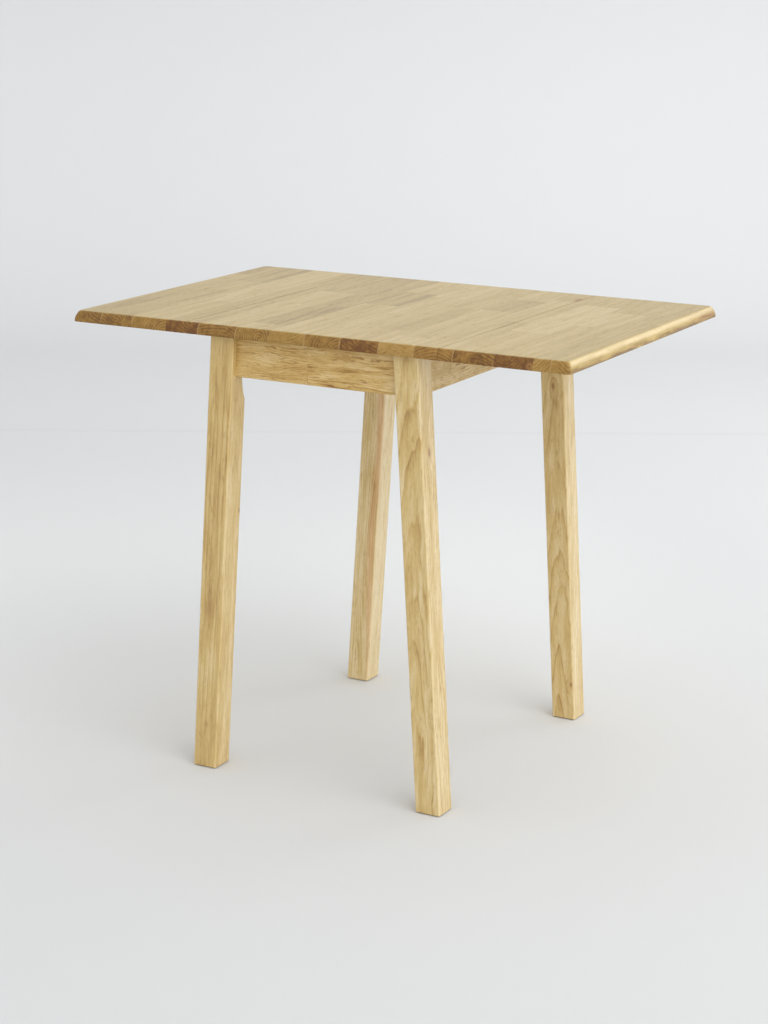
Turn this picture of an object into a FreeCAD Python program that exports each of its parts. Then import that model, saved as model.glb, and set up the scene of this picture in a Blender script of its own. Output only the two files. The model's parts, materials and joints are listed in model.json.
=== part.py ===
import FreeCAD, Part
import math
import os
import Sketcher

# Butterfly folding table in rubberwood: a fixed centre board on a splayed four-leg frame, with a
# drop leaf hinged to each short side of it and a metal stay under each leaf.
#
# Frame: origin on the floor under the middle of the top, X along the length of the raised top,
# Y across it (near side is -Y), Z up. Millimetres. Modelled with both leaves raised.

LEFT, RIGHT = -1, 1
NEAR, FAR = -1, 1
SIDE_NAMES = {LEFT: "left", RIGHT: "right"}
END_NAMES = {NEAR: "near", FAR: "far"}

DIMENSIONS = (
    # the raised top
    ("table_length", 880, "length of the top with both leaves raised"),
    ("table_width", 580, "width of the top"),
    ("table_height", 745, "height of the top above the floor"),
    ("board_thickness", 18, "thickness of the three boards"),
    ("fixed_top_length", 448, "length of the fixed board, seam to seam"),
    ("seam_gap", 0.6, "gap between the fixed board and a leaf"),
    ("edge_inset", 7, "how far the rounded edge leans in between underside and top"),
    ("corner_round", 6, "radius of the leaf corners in plan"),
    # legs
    ("leg_section", 43, "side of the square leg"),
    ("leg_arris", 3, "rounding of the long corners of a leg"),
    ("leg_seam_inset", 61, "from a seam to a leg's centre line at the underside, along X"),
    ("leg_splay", 46, "how far a leg's centre line runs out between underside and floor, along X"),
    ("leg_inset", 35.5, "from the near or far edge of the top to a leg's centre line"),
    ("glide_height", 1.5, "thickness of a foot glide"),
    ("glide_radius", 12, "radius of a foot glide"),
    ("glide_nail_radius", 1.3, "radius of the glide's nail"),
    ("glide_nail_length", 12, "length of the glide's nail in the leg"),
    ("corner_cut", 12, "flat cut on the inner corner of a leg, measured along its faces"),
    ("cutter_radius", 120, "radius at which the corner cut runs out below the apron"),
    # aprons
    ("apron_height", 66, "height of the aprons"),
    ("apron_thickness", 20, "thickness of the aprons"),
    ("apron_setback", 11.5, "from a leg's outer face to the outer face of an apron"),
    ("apron_ease", 1.5, "rounding of the aprons' lower edges"),
    # corner brackets
    ("bracket_gap", 24, "from a leg's corner cut to the web of its bracket"),
    ("bracket_sheet", 2.5, "sheet thickness of a corner bracket"),
    ("bracket_flange", 22, "length of a bracket's flange along the apron"),
    ("flange_screw_start", 6, "from the bend of a flange to its first screw"),
    ("flange_screw_pitch", 10, "from the first to the second screw of a flange"),
    ("bracket_height", 42, "height of a corner bracket"),
    ("bolt_radius", 4, "radius of a hanger bolt"),
    ("bolt_grip", 26, "length of a hanger bolt inside the leg"),
    ("bolt_tail", 12, "length of a hanger bolt beyond the bracket"),
    ("bolt_clearance", 0.4, "radial clearance of a hanger bolt in its bracket"),
    ("washer_radius", 9, "outer radius of a washer"),
    ("washer_thickness", 1.6, "thickness of a washer"),
    ("nut_radius", 7.5, "radius across the corners of a nut"),
    ("nut_height", 6.5, "height of a nut"),
    # wood screws
    ("screw_radius", 1.8, "radius of a wood screw's shank"),
    ("screw_head_radius", 3.5, "radius of a countersunk head"),
    ("screw_head_depth", 1.7, "depth of a countersunk head"),
    ("screw_length", 13, "length of a wood screw in the wood"),
    # clips and screws that hold the fixed board down
    ("clip_leg", 20, "length of each leg of a top clip"),
    ("clip_width", 16, "width of a top clip"),
    ("clip_sheet", 1.8, "sheet thickness of a top clip"),
    ("clip_spread", 48, "from the middle to a top clip along X"),
    ("apron_screw_inset", 170, "from the near or far edge of the top to a screw up through a side apron"),
    ("apron_screw_radius", 2.2, "radius of that screw's shank"),
    ("apron_screw_head", 4.6, "radius of that screw's head"),
    ("apron_screw_bore", 5.2, "radius of the counterbore for that screw"),
    ("apron_screw_wood", 28, "wood left above the counterbore"),
    ("apron_screw_bite", 12, "length of that screw in the fixed board"),
    # leaf hinges
    ("hinge_inset", 100, "from the near or far edge of the top to the middle of a hinge"),
    ("hinge_length", 60, "length of a hinge along its pin"),
    ("hinge_reach", 32, "from the pin to the free edge of a hinge plate"),
    ("hinge_sheet", 1.8, "thickness of a hinge plate"),
    ("knuckle_radius", 3.2, "outer radius of the knuckles"),
    ("pin_radius", 1.6, "radius of a hinge pin"),
    ("pin_play", 0.05, "radial clearance of a pin in what turns on it"),
    ("knuckle_gap", 0.3, "gap between neighbouring knuckles"),
    ("hinge_screw_near", 10, "from the pin to the two screws near a hinge plate's corners"),
    ("hinge_screw_far", 23, "from the pin to the single screw of a hinge plate"),
    ("hinge_screw_end", 10, "from the end of a hinge to the two screws near its corners"),
    ("mortise_gap", 0.3, "gap between a hinge plate and the side of its mortise"),
    # leaf stays
    ("stay_pivot_out", 15, "from the side apron's outer face to a stay's pivot"),
    ("stay_pivot_drop", 36, "from the underside of the top to a stay's pivot"),
    ("strut_length", 130, "from a strut's pivot to its slide pin"),
    ("strut_width", 13, "width of a strut"),
    ("strut_sheet", 3, "thickness of a strut"),
    ("rail_drop", 9, "from the underside of a leaf to the slide pin"),
    ("glide_disc_radius", 6, "radius of the nylon discs on the slide pin"),
    ("glide_disc_width", 3.2, "width of a nylon disc"),
    ("slide_pin_radius", 2.5, "radius of the slide pin and of the pivot rivet"),
    ("stay_side_gap", 0.4, "side clearance between the moving pieces of a stay"),
    ("rail_sheet", 1.5, "sheet thickness of a rail"),
    ("rail_depth", 15, "depth of a rail below the leaf"),
    ("rail_start_margin", 14, "from the raised slide pin to the inner end of the rail"),
    ("rail_end_margin", 14, "from the lowered slide pin to the outer end of the rail"),
    ("rail_lip", 9, "width of the rail's screw lips on each side"),
    ("rail_screw_inset", 14, "from an end of the rail to its screws"),
    ("catch_depth", 4.2, "depth of the catch that the raised disc rests against"),
    ("catch_length", 5, "length of the catch along the rail"),
    ("lug_sheet", 2, "sheet thickness of the pivot bracket"),
    ("lug_plate_width", 46, "width of the pivot bracket's back plate"),
    ("lug_plate_height", 30, "height of the pivot bracket's back plate"),
    ("lug_round", 8, "radius of the ears round the pivot"),
    ("lug_screw_spread", 16, "from the middle to a screw of the pivot bracket"),
)

DOC = FreeCAD.newDocument("butterfly_table")
SHEET = DOC.addObject("Spreadsheet::Sheet", "dims")


class Size:
    """A size with its number and the sheet expression that gives it."""

    def __init__(self, value, text):
        self.value = float(value)
        self.text = text

    @staticmethod
    def of(other):
        """Return other as a Size."""
        if isinstance(other, Size):
            return other
        return Size(other, repr(float(other)))

    def __add__(self, other):
        other = Size.of(other)
        return Size(self.value + other.value, f"({self.text} + {other.text})")

    def __radd__(self, other):
        return Size.of(other) + self

    def __sub__(self, other):
        other = Size.of(other)
        return Size(self.value - other.value, f"({self.text} - {other.text})")

    def __rsub__(self, other):
        return Size.of(other) - self

    def __mul__(self, other):
        other = Size.of(other)
        return Size(self.value * other.value, f"({self.text} * {other.text})")

    def __rmul__(self, other):
        return Size.of(other) * self

    def __truediv__(self, other):
        other = Size.of(other)
        return Size(self.value / other.value, f"({self.text} / {other.text})")

    def __rtruediv__(self, other):
        return Size.of(other) / self

    def __neg__(self):
        return Size(-self.value, f"(0 - {self.text})")


def root(size):
    """Square root of a Size."""
    return Size(math.sqrt(size.value), f"sqrt({size.text})")


class Dimensions:
    """Reads the driving dimensions of the sheet by name."""

    def __init__(self):
        for row, (name, value, meaning) in enumerate(DIMENSIONS, start=1):
            SHEET.set(f"A{row}", name)
            SHEET.set(f"B{row}", str(value))
            SHEET.set(f"C{row}", meaning)
            SHEET.setAlias(f"B{row}", name)
            setattr(self, name, Size(value, f"dims.{name}"))


D = Dimensions()
DOC.recompute()

# ---------------------------------------------------------------- sizes worked out from the sheet

ZERO = Size.of(0)
HALF_TURN = Size(180, "180 deg")
ROOT_TWO = math.sqrt(2)
UNDERSIDE = D.table_height - D.board_thickness
EDGE_RADIUS = (D.edge_inset + D.board_thickness * D.board_thickness / D.edge_inset) / 2
SEAM_X = D.fixed_top_length / 2
HALF_WIDTH = D.table_width / 2
AMPLE = D.table_length + D.table_width + D.table_height
LEG_Y = HALF_WIDTH - D.leg_inset
HINGE_Y = HALF_WIDTH - D.hinge_inset
APRON_SCREW_Y = HALF_WIDTH - D.apron_screw_inset
FOOT_X = SEAM_X - D.leg_seam_inset + D.leg_splay
SLOPE = D.leg_splay / UNDERSIDE
STRETCH = root(SLOPE * SLOPE + 1)
COSINE = 1 / STRETCH
SINE = SLOPE / STRETCH
APRON_BOTTOM = UNDERSIDE - D.apron_height
HALF_LEG = D.leg_section / 2
APRON_OUTER = D.apron_setback - HALF_LEG
APRON_INNER = APRON_OUTER + D.apron_thickness
CUT_SUM = D.leg_section - D.corner_cut
BRACKET_SUM = CUT_SUM + D.bracket_gap * ROOT_TWO
BRACKET_BEND = BRACKET_SUM - APRON_INNER
BRACKET_Z = (UNDERSIDE - D.apron_height / 2) * STRETCH
CUT_DISTANCE = CUT_SUM / ROOT_TWO
WEB_DISTANCE = BRACKET_SUM / ROOT_TWO


def leg_x(height):
    """Distance from the middle to a leg's centre line at a height."""
    return FOOT_X - SLOPE * height


def placement_of(base, axis=(0, 0, 1), angle=0.0):
    """Placement with a base of three Sizes and a turn in degrees about an axis."""
    return FreeCAD.Placement(FreeCAD.Vector(*[Size.of(c).value for c in base]),
                             FreeCAD.Rotation(FreeCAD.Vector(*axis), angle))


def place(item, base, axis=(0, 0, 1), angle=0.0):
    """Put an object at a base that follows the sheet, and return it."""
    item.Placement = placement_of(base, axis, angle)
    for letter, value in zip("xyz", base):
        item.setExpression(f".Placement.Base.{letter}", Size.of(value).text)
    return item


def turn(item, base, angle, way=-1):
    """Put an object at a base, turned about Y by an angle: way -1 turns +X up, 1 turns it down."""
    place(item, base, (0, way, 0), angle.value)
    item.setExpression(".Placement.Rotation.Angle", angle.text)
    return item


def lean(item, side):
    """Lean an object built round a leg's own axis by the splay of the legs on a side."""
    splay = Size(math.degrees(math.atan(SLOPE.value)), f"atan({SLOPE.text})")
    return turn(item, (side * FOOT_X, ZERO, ZERO), splay, -side)


def bind(item, **sizes):
    """Tie properties of an object to Sizes, and return it."""
    for name, size in sizes.items():
        size = Size.of(size)
        setattr(item, name, size.value)
        item.setExpression(name, size.text)
    return item


def box(name, low, extent):
    """Part box from its low corner and its extent."""
    item = DOC.addObject("Part::Box", name)
    bind(item, Length=extent[0], Width=extent[1], Height=extent[2])
    return place(item, low)


AXES = {"x": ((0, 1, 0), 90.0), "y": ((1, 0, 0), -90.0), "z": ((0, 0, 1), 0.0)}


def cylinder(name, radius, start, length, axis="z"):
    """Part cylinder from the middle of its first end, along a row axis."""
    item = DOC.addObject("Part::Cylinder", name)
    bind(item, Radius=radius, Height=length)
    return place(item, start, *AXES[axis])


def cone(name, radius_start, radius_end, start, length, axis="z"):
    """Part cone from the middle of its first end, along a row axis."""
    item = DOC.addObject("Part::Cone", name)
    bind(item, Radius1=radius_start, Radius2=radius_end, Height=length)
    return place(item, start, *AXES[axis])


def fuse(name, items):
    """Join several objects into one solid."""
    item = DOC.addObject("Part::MultiFuse", name)
    item.Shapes = list(items)
    item.Refine = True
    return item


def common(name, items):
    """Keep what several objects share."""
    item = DOC.addObject("Part::MultiCommon", name)
    item.Shapes = list(items)
    return item


def group(name, items):
    """Gather separate solids in one object."""
    item = DOC.addObject("Part::Compound", name)
    item.Links = list(items)
    return item


def cut(name, base, tools):
    """Take tools away from a base."""
    tools = list(tools)
    item = DOC.addObject("Part::Cut", name)
    item.Base = base
    item.Tool = tools[0] if len(tools) == 1 else group(f"{name}_tools", tools)
    return item


class Arc:
    """A round stretch of an outline, from its corner to the next."""

    def __init__(self, centre_x, centre_y, radius, turns_left):
        self.centre = (Size.of(centre_x), Size.of(centre_y))
        self.radius = Size.of(radius)
        self.turns_left = turns_left


def hold(sketch, kind, *args, size):
    """Add a dimension to a sketch and tie it to a Size."""
    index = sketch.addConstraint(Sketcher.Constraint(kind, *args, size.value))
    sketch.setExpression(f"Constraints[{index}]", size.text)


def outline(sketch, corners):
    """Draw a closed outline of (x, y) or (x, y, Arc) corners and fix each corner by its sizes."""
    points = [FreeCAD.Vector(Size.of(c[0]).value, Size.of(c[1]).value, 0) for c in corners]
    ends = []
    for index, corner in enumerate(corners):
        start, stop = points[index], points[(index + 1) % len(points)]
        if len(corner) == 2:
            sketch.addGeometry(Part.LineSegment(start, stop))
            ends.append((1, 2))
            continue
        arc = corner[2]
        centre = FreeCAD.Vector(arc.centre[0].value, arc.centre[1].value, 0)
        first, last = (start, stop) if arc.turns_left else (stop, start)
        angles = [math.atan2(p.y - centre.y, p.x - centre.x) for p in (first, last)]
        circle = Part.Circle(centre, FreeCAD.Vector(0, 0, 1), arc.radius.value)
        sketch.addGeometry(Part.ArcOfCircle(circle, *angles))
        ends.append((1, 2) if arc.turns_left else (2, 1))
    for index, corner in enumerate(corners):
        before = (index - 1) % len(corners)
        joined = (before, ends[before][1], index, ends[index][0])
        sketch.addConstraint(Sketcher.Constraint("Coincident", *joined))
        hold(sketch, "DistanceX", -1, 1, index, ends[index][0], size=Size.of(corner[0]))
        hold(sketch, "DistanceY", -1, 1, index, ends[index][0], size=Size.of(corner[1]))
        if len(corner) == 3:
            hold(sketch, "Radius", index, size=corner[2].radius)


def new_sketch(body, plane, name):
    """Sketch on one of the body's own origin planes."""
    sketch = body.newObject("Sketcher::SketchObject", name)
    support = [f for f in body.Origin.OriginFeatures if f.Role == plane][0]
    sketch.AttachmentSupport = [(support, "")]
    sketch.MapMode = "FlatFace"
    return sketch


def pad(name, plane, corners, length):
    """Body whose outline on a plane is padded to both sides of that plane."""
    body = DOC.addObject("PartDesign::Body", name)
    sketch = new_sketch(body, plane, f"{name}_outline")
    outline(sketch, corners)
    feature = body.newObject("PartDesign::Pad", f"{name}_pad")
    feature.Profile = sketch
    feature.SideType = "Symmetric"
    bind(feature, Length=length)
    body.Tip = feature
    DOC.recompute()
    return body


def round_edges(body, radius, wanted):
    """Fillet the edges of a body's last feature that a test picks."""
    base = body.Tip
    names = [f"Edge{i}" for i, edge in enumerate(base.Shape.Edges, start=1) if wanted(edge)]
    feature = body.newObject("PartDesign::Fillet", f"{body.Name}_rounding")
    feature.Base = (base, names)
    bind(feature, Radius=radius)
    body.Tip = feature
    DOC.recompute()
    return body


def runs_along(edge, axis):
    """True for a straight edge along a row axis."""
    if not isinstance(edge.Curve, Part.Line):
        return False
    step = edge.Vertexes[1].Point - edge.Vertexes[0].Point
    return abs(abs(step.getAngle(FreeCAD.Vector(*axis)) - math.pi / 2) - math.pi / 2) < 1e-6


def low_of(side, start, length):
    """Low end of a stretch that starts at a distance on one side of the middle."""
    return start if side > 0 else -(start + length)


NODES = {}


def node(item, name):
    """Name an object as a finished sub-part."""
    item.Label = name
    NODES[name] = item
    return item


# ---------------------------------------------------------------- wood screws

def wood_screw(name, head, direction):
    """Countersunk wood screw whose flat head face is centred on a point.

    direction is a row axis letter with a sign: the way the screw drives in.
    """
    axis, sign = direction[1], 1 if direction[0] == "+" else -1
    step = "xyz".index(axis)

    def along(distance):
        point = list(head)
        point[step] = point[step] + sign * distance
        return point

    whole = D.screw_head_depth + D.screw_length
    if sign > 0:
        top = cone(f"{name}_head", D.screw_head_radius, D.screw_radius, head, D.screw_head_depth, axis)
        shank = cylinder(f"{name}_shank", D.screw_radius, along(D.screw_head_depth), D.screw_length, axis)
    else:
        top = cone(f"{name}_head", D.screw_radius, D.screw_head_radius, along(D.screw_head_depth),
                   D.screw_head_depth, axis)
        shank = cylinder(f"{name}_shank", D.screw_radius, along(whole), D.screw_length, axis)
    return fuse(name, [top, shank])


# ---------------------------------------------------------------- boards of the top

def edge_corners(half, sign):
    """Rounded board edge on one side: underside corner, arc, top corner."""
    centre = sign * (half - EDGE_RADIUS)
    if sign > 0:
        return [(half, ZERO, Arc(centre, ZERO, EDGE_RADIUS, True)),
                (half - D.edge_inset, D.board_thickness)]
    return [(-(half - D.edge_inset), D.board_thickness, Arc(centre, ZERO, EDGE_RADIUS, True)),
            (-half, ZERO)]


def end_profile(name, length):
    """Board seen from its seam: both long edges rounded over the whole thickness."""
    return pad(name, "YZ_Plane", edge_corners(HALF_WIDTH, 1) + edge_corners(HALF_WIDTH, -1), length)


def leaf_board(side):
    """Drop leaf: rounded on its three free edges, square at the seam, in the raised place."""
    name = f"{SIDE_NAMES[side]}_leaf"
    half = D.table_length / 2
    seam = SEAM_X + D.seam_gap / 2
    if side > 0:
        corners = edge_corners(half, 1) + [(seam, D.board_thickness), (seam, ZERO)]
    else:
        corners = [(-seam, ZERO), (-seam, D.board_thickness)] + edge_corners(half, -1)
    along = pad(f"{name}_side", "XZ_Plane", corners, D.table_width)
    across = end_profile(f"{name}_end", D.table_length)
    reach, out = HALF_WIDTH, half - D.corner_round
    bend = reach - D.corner_round
    if side > 0:
        plan_corners = [(seam, -reach), (out, -reach, Arc(out, -bend, D.corner_round, True)),
                        (half, -bend), (half, bend, Arc(out, bend, D.corner_round, True)),
                        (out, reach), (seam, reach)]
    else:
        plan_corners = [(-seam, reach), (-out, reach, Arc(-out, bend, D.corner_round, True)),
                        (-half, bend), (-half, -bend, Arc(-out, -bend, D.corner_round, True)),
                        (-out, -reach), (-seam, -reach)]
    plan = pad(f"{name}_plan", "XY_Plane", plan_corners, AMPLE)
    return place(common(f"{name}_blank", [along, across, plan]), (ZERO, ZERO, UNDERSIDE))


# ---------------------------------------------------------------- hinges

KNUCKLES = 5
KNUCKLE_PITCH = (D.hinge_length + D.knuckle_gap) / KNUCKLES
KNUCKLE_LENGTH = KNUCKLE_PITCH - D.knuckle_gap
PLATE_EDGE = D.knuckle_radius + D.mortise_gap
SCREW_ROW = D.hinge_length / 2 - D.hinge_screw_end
HINGE_SCREWS = ((D.hinge_screw_near, -SCREW_ROW), (D.hinge_screw_near, SCREW_ROW), (D.hinge_screw_far, ZERO))


def hinge_plate(name, side, middle, turns):
    """Hinge plate with its own knuckles, flush in the underside; turns is True on the leaf."""
    way = side if turns else -side
    low = middle - D.hinge_length / 2
    plate = box(f"{name}_plate", (side * SEAM_X + low_of(way, PLATE_EDGE, D.hinge_reach - PLATE_EDGE), low,
                                  UNDERSIDE),
                (D.hinge_reach - PLATE_EDGE, D.hinge_length, D.hinge_sheet))
    pieces = [plate]
    for index in range(1 if turns else 0, KNUCKLES, 2):
        start = low + KNUCKLE_PITCH * index
        pieces.append(cylinder(f"{name}_knuckle_{index}", D.knuckle_radius, (side * SEAM_X, start, UNDERSIDE),
                               KNUCKLE_LENGTH, "y"))
        pieces.append(box(f"{name}_strap_{index}", (side * SEAM_X + low_of(way, ZERO, PLATE_EDGE), start,
                                                    UNDERSIDE),
                          (PLATE_EDGE, KNUCKLE_LENGTH, D.hinge_sheet)))
    bore_start = (side * SEAM_X, low - D.hinge_sheet, UNDERSIDE)
    holes = [cylinder(f"{name}_bore", D.pin_radius + D.pin_play, bore_start,
                      D.hinge_length + D.hinge_sheet * 2, "y")]
    for index, point in enumerate(hinge_screw_points(side, middle, turns)):
        holes.append(screw_hole(f"{name}_hole_{index}", point))
    return node(cut(name, fuse(f"{name}_blank", pieces), holes), name)


def hinge_screw_points(side, middle, turns):
    """Places of the screw heads on a hinge plate, in the plane of the underside."""
    way = side if turns else -side
    return [(side * SEAM_X + way * out, middle + row, UNDERSIDE) for out, row in HINGE_SCREWS]


def screw_hole(name, head):
    """Countersunk hole for an upright screw that drives up, the size of the screw."""
    top = cone(f"{name}_sink", D.screw_head_radius, D.screw_radius, head, D.screw_head_depth)
    point = (head[0], head[1], head[2] + D.screw_head_depth)
    return fuse(name, [top, cylinder(f"{name}_pilot", D.screw_radius, point, D.screw_length)])


def hinge_mortise(name, side, middle, turns):
    """Shallow recess for a hinge plate and its knuckles."""
    way = side if turns else -side
    margin = D.mortise_gap
    low = middle - D.hinge_length / 2 - margin
    span = D.hinge_length + margin * 2
    reach = D.hinge_reach + margin
    shallow = box(f"{name}_plate", (side * SEAM_X + low_of(way, ZERO, reach), low, UNDERSIDE),
                  (reach, span, D.hinge_sheet))
    groove = box(f"{name}_knuckle", (side * SEAM_X + low_of(way, ZERO, PLATE_EDGE), low, UNDERSIDE),
                 (PLATE_EDGE, span, PLATE_EDGE))
    return fuse(name, [shallow, groove])


# ---------------------------------------------------------------- leaf stays

APRON_FACE_X = leg_x(UNDERSIDE - D.stay_pivot_drop) - APRON_OUTER * STRETCH
PIVOT_X = APRON_FACE_X + D.stay_pivot_out
PIVOT_Z = UNDERSIDE - D.stay_pivot_drop
PIVOT_IN = SEAM_X - PIVOT_X
RAISED_RISE = D.stay_pivot_drop - D.rail_drop
RAISED_RUN = root(D.strut_length * D.strut_length - RAISED_RISE * RAISED_RISE)
SLIDE_RAISED = RAISED_RUN - PIVOT_IN
LOWERED_RISE = PIVOT_IN - D.rail_drop
LOWERED_RUN = root(D.strut_length * D.strut_length - LOWERED_RISE * LOWERED_RISE)
SLIDE_LOWERED = LOWERED_RUN + D.stay_pivot_drop
RAIL_START = SEAM_X + SLIDE_RAISED - D.rail_start_margin
RAIL_LENGTH = SLIDE_LOWERED - SLIDE_RAISED + D.rail_start_margin + D.rail_end_margin
DISC_OUTER = D.strut_sheet / 2 + D.stay_side_gap / 2 + D.glide_disc_width
RAIL_INNER = DISC_OUTER + D.stay_side_gap


def pivot_bracket(side):
    """Pressed bracket on the side apron: a back plate with two ears that hold the pivot rivet."""
    name = f"{SIDE_NAMES[side]}_stay_bracket"
    face = -APRON_OUTER
    back = box(f"{name}_plate", (low_of(side, face, D.lug_sheet), -D.lug_plate_width / 2,
                                 PIVOT_Z * STRETCH - D.lug_plate_height / 2),
               (D.lug_sheet, D.lug_plate_width, D.lug_plate_height))
    pivot = pivot_local(side)
    pieces = [back]
    for end in (NEAR, FAR):
        start = low_of(end, D.strut_sheet / 2 + D.stay_side_gap, D.lug_sheet)
        pieces.append(cylinder(f"{name}_ear_{END_NAMES[end]}", D.lug_round, (pivot[0], start, pivot[1]),
                               D.lug_sheet, "y"))
        pieces.append(box(f"{name}_arm_{END_NAMES[end]}", (low_of(side, face, side * pivot[0] - face), start,
                                                           pivot[1] - D.lug_round),
                          (side * pivot[0] - face, D.lug_sheet, D.lug_round * 2)))
    holes = [cylinder(f"{name}_bore", D.slide_pin_radius, (pivot[0], -D.lug_plate_width / 2, pivot[1]),
                      D.lug_plate_width, "y")]
    for end in (NEAR, FAR):
        holes.append(side_screw_hole(f"{name}_hole_{END_NAMES[end]}", side, end))
    item = cut(name, fuse(f"{name}_blank", pieces), holes)
    return node(lean(item, side), name)


def pivot_local(side):
    """Pivot of a stay in the leaning frame of its side: x and z."""
    across = PIVOT_X - FOOT_X
    x = across * COSINE + PIVOT_Z * SINE
    z = PIVOT_Z * COSINE - across * SINE
    return side * x, z


def lug_screw_head(side, end):
    """Head point of a pivot bracket's screw, in the leaning frame."""
    return side * (D.lug_sheet - APRON_OUTER), end * D.lug_screw_spread, PIVOT_Z * STRETCH


def side_screw_hole(name, side, end):
    """Hole through the pivot bracket and into the side apron for one screw."""
    return wood_screw(name, lug_screw_head(side, end), "-x" if side > 0 else "+x")


def strut(side):
    """Flat steel strut, from the pivot rivet up to the slide pin under the raised leaf."""
    name = f"{SIDE_NAMES[side]}_strut"
    half = D.strut_width / 2
    pieces = [box(f"{name}_bar", (ZERO, -D.strut_sheet / 2, -half),
                  (D.strut_length, D.strut_sheet, D.strut_width))]
    for place_name, along in (("pivot", ZERO), ("slide", D.strut_length)):
        pieces.append(cylinder(f"{name}_{place_name}_end", half, (along, -D.strut_sheet / 2, ZERO),
                               D.strut_sheet, "y"))
    holes = [cylinder(f"{name}_pivot_bore", D.slide_pin_radius + D.pin_play, (ZERO, -D.strut_sheet, ZERO),
                      D.strut_sheet * 2, "y"),
             cylinder(f"{name}_slide_bore", D.slide_pin_radius, (D.strut_length, -D.strut_sheet, ZERO),
                      D.strut_sheet * 2, "y")]
    item = cut(name, fuse(f"{name}_blank", pieces), holes)
    rise = Size(math.degrees(math.asin(RAISED_RISE.value / D.strut_length.value)),
                f"asin({(RAISED_RISE / D.strut_length).text})")
    turn(item, (side * PIVOT_X, ZERO, PIVOT_Z), rise if side > 0 else HALF_TURN - rise)
    return node(item, name)


def rivet(name, centre_x, centre_z, half_length, head):
    """Rivet along Y with a flat round head at each end."""
    shank = cylinder(f"{name}_shank", D.slide_pin_radius, (centre_x, -half_length, centre_z),
                     half_length * 2, "y")
    pieces = [shank]
    for end in (NEAR, FAR):
        pieces.append(cylinder(f"{name}_head_{END_NAMES[end]}", D.slide_pin_radius + head,
                               (centre_x, low_of(end, half_length, head), centre_z), head, "y"))
    return fuse(name, pieces)


def stay_pins(side):
    """Pivot rivet in the bracket's ears, slide pin and nylon discs on the strut's end."""
    name = SIDE_NAMES[side]
    ears = D.strut_sheet / 2 + D.stay_side_gap + D.lug_sheet
    node(rivet(f"{name}_stay_rivet", side * PIVOT_X, PIVOT_Z, ears, D.lug_sheet / 2), f"{name}_stay_rivet")
    slide_x = side * (SEAM_X + SLIDE_RAISED)
    slide_z = UNDERSIDE - D.rail_drop
    node(cylinder(f"{name}_slide_pin", D.slide_pin_radius, (slide_x, -DISC_OUTER, slide_z),
                  DISC_OUTER * 2, "y"), f"{name}_slide_pin")
    discs = []
    for end in (NEAR, FAR):
        start = low_of(end, D.strut_sheet / 2, D.stay_side_gap / 2 + D.glide_disc_width)
        blank = cylinder(f"{name}_disc_{END_NAMES[end]}", D.glide_disc_radius, (slide_x, start, slide_z),
                         D.stay_side_gap / 2 + D.glide_disc_width, "y")
        bore = cylinder(f"{name}_disc_bore_{END_NAMES[end]}", D.slide_pin_radius, (slide_x, start, slide_z),
                        D.stay_side_gap / 2 + D.glide_disc_width, "y")
        discs.append(cut(f"{name}_disc_ring_{END_NAMES[end]}", blank, [bore]))
    node(group(f"{name}_slide_discs", discs), f"{name}_slide_discs")


def rail_screw_points(side):
    """Head points of a rail's four screws, on the under face of its lips."""
    lip_middle = RAIL_INNER + D.rail_sheet + D.rail_lip / 2
    rows = (RAIL_START + D.rail_screw_inset, RAIL_START + RAIL_LENGTH - D.rail_screw_inset)
    return [(side * row, end * lip_middle, UNDERSIDE - D.rail_sheet) for row in rows for end in (NEAR, FAR)]


def rail(side):
    """Channel under the leaf that guides the slide discs, with a catch for the raised leaf."""
    name = f"{SIDE_NAMES[side]}_rail"
    outer = RAIL_INNER + D.rail_sheet
    lip = outer + D.rail_lip
    sheet, depth = D.rail_sheet, D.rail_depth
    corners = [(-lip, ZERO), (-lip, -sheet), (-outer, -sheet), (-outer, -depth), (-RAIL_INNER, -depth),
               (-RAIL_INNER, -sheet), (RAIL_INNER, -sheet), (RAIL_INNER, -depth), (outer, -depth),
               (outer, -sheet), (lip, -sheet), (lip, ZERO)]
    channel = pad(f"{name}_channel", "YZ_Plane", corners, RAIL_LENGTH)
    place(channel, (side * (RAIL_START + RAIL_LENGTH / 2), ZERO, UNDERSIDE))
    reach = D.glide_disc_radius
    catch = box(f"{name}_catch", (low_of(side, SEAM_X + SLIDE_RAISED + reach, D.catch_length), -RAIL_INNER,
                                  UNDERSIDE - D.catch_depth),
                (D.catch_length, RAIL_INNER * 2, D.catch_depth - sheet))
    holes = [screw_hole(f"{name}_hole_{index}", point) for index, point in enumerate(rail_screw_points(side))]
    return node(cut(name, fuse(f"{name}_blank", [channel, catch]), holes), name)


# ---------------------------------------------------------------- legs and aprons

def corner_turn(side, end):
    """Turn in degrees from +X to the direction from a leg towards the middle of the table."""
    return math.degrees(math.atan2(-end, -side))


def on_diagonal(side, end, distance, height):
    """Point at a distance from a leg's axis towards the middle of the table."""
    share = distance / ROOT_TWO
    return -side * share, end * LEG_Y - end * share, height


def diagonal_cylinder(name, radius, side, end, start, length):
    """Cylinder that points from a leg's axis towards the middle of the table."""
    item = DOC.addObject("Part::Cylinder", name)
    bind(item, Radius=radius, Height=length)
    place(item, on_diagonal(side, end, start, BRACKET_Z))
    axis = FreeCAD.Vector(-side, -end, 0)
    item.Placement.Rotation = FreeCAD.Rotation(FreeCAD.Vector(0, 0, 1), axis)
    return item


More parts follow.
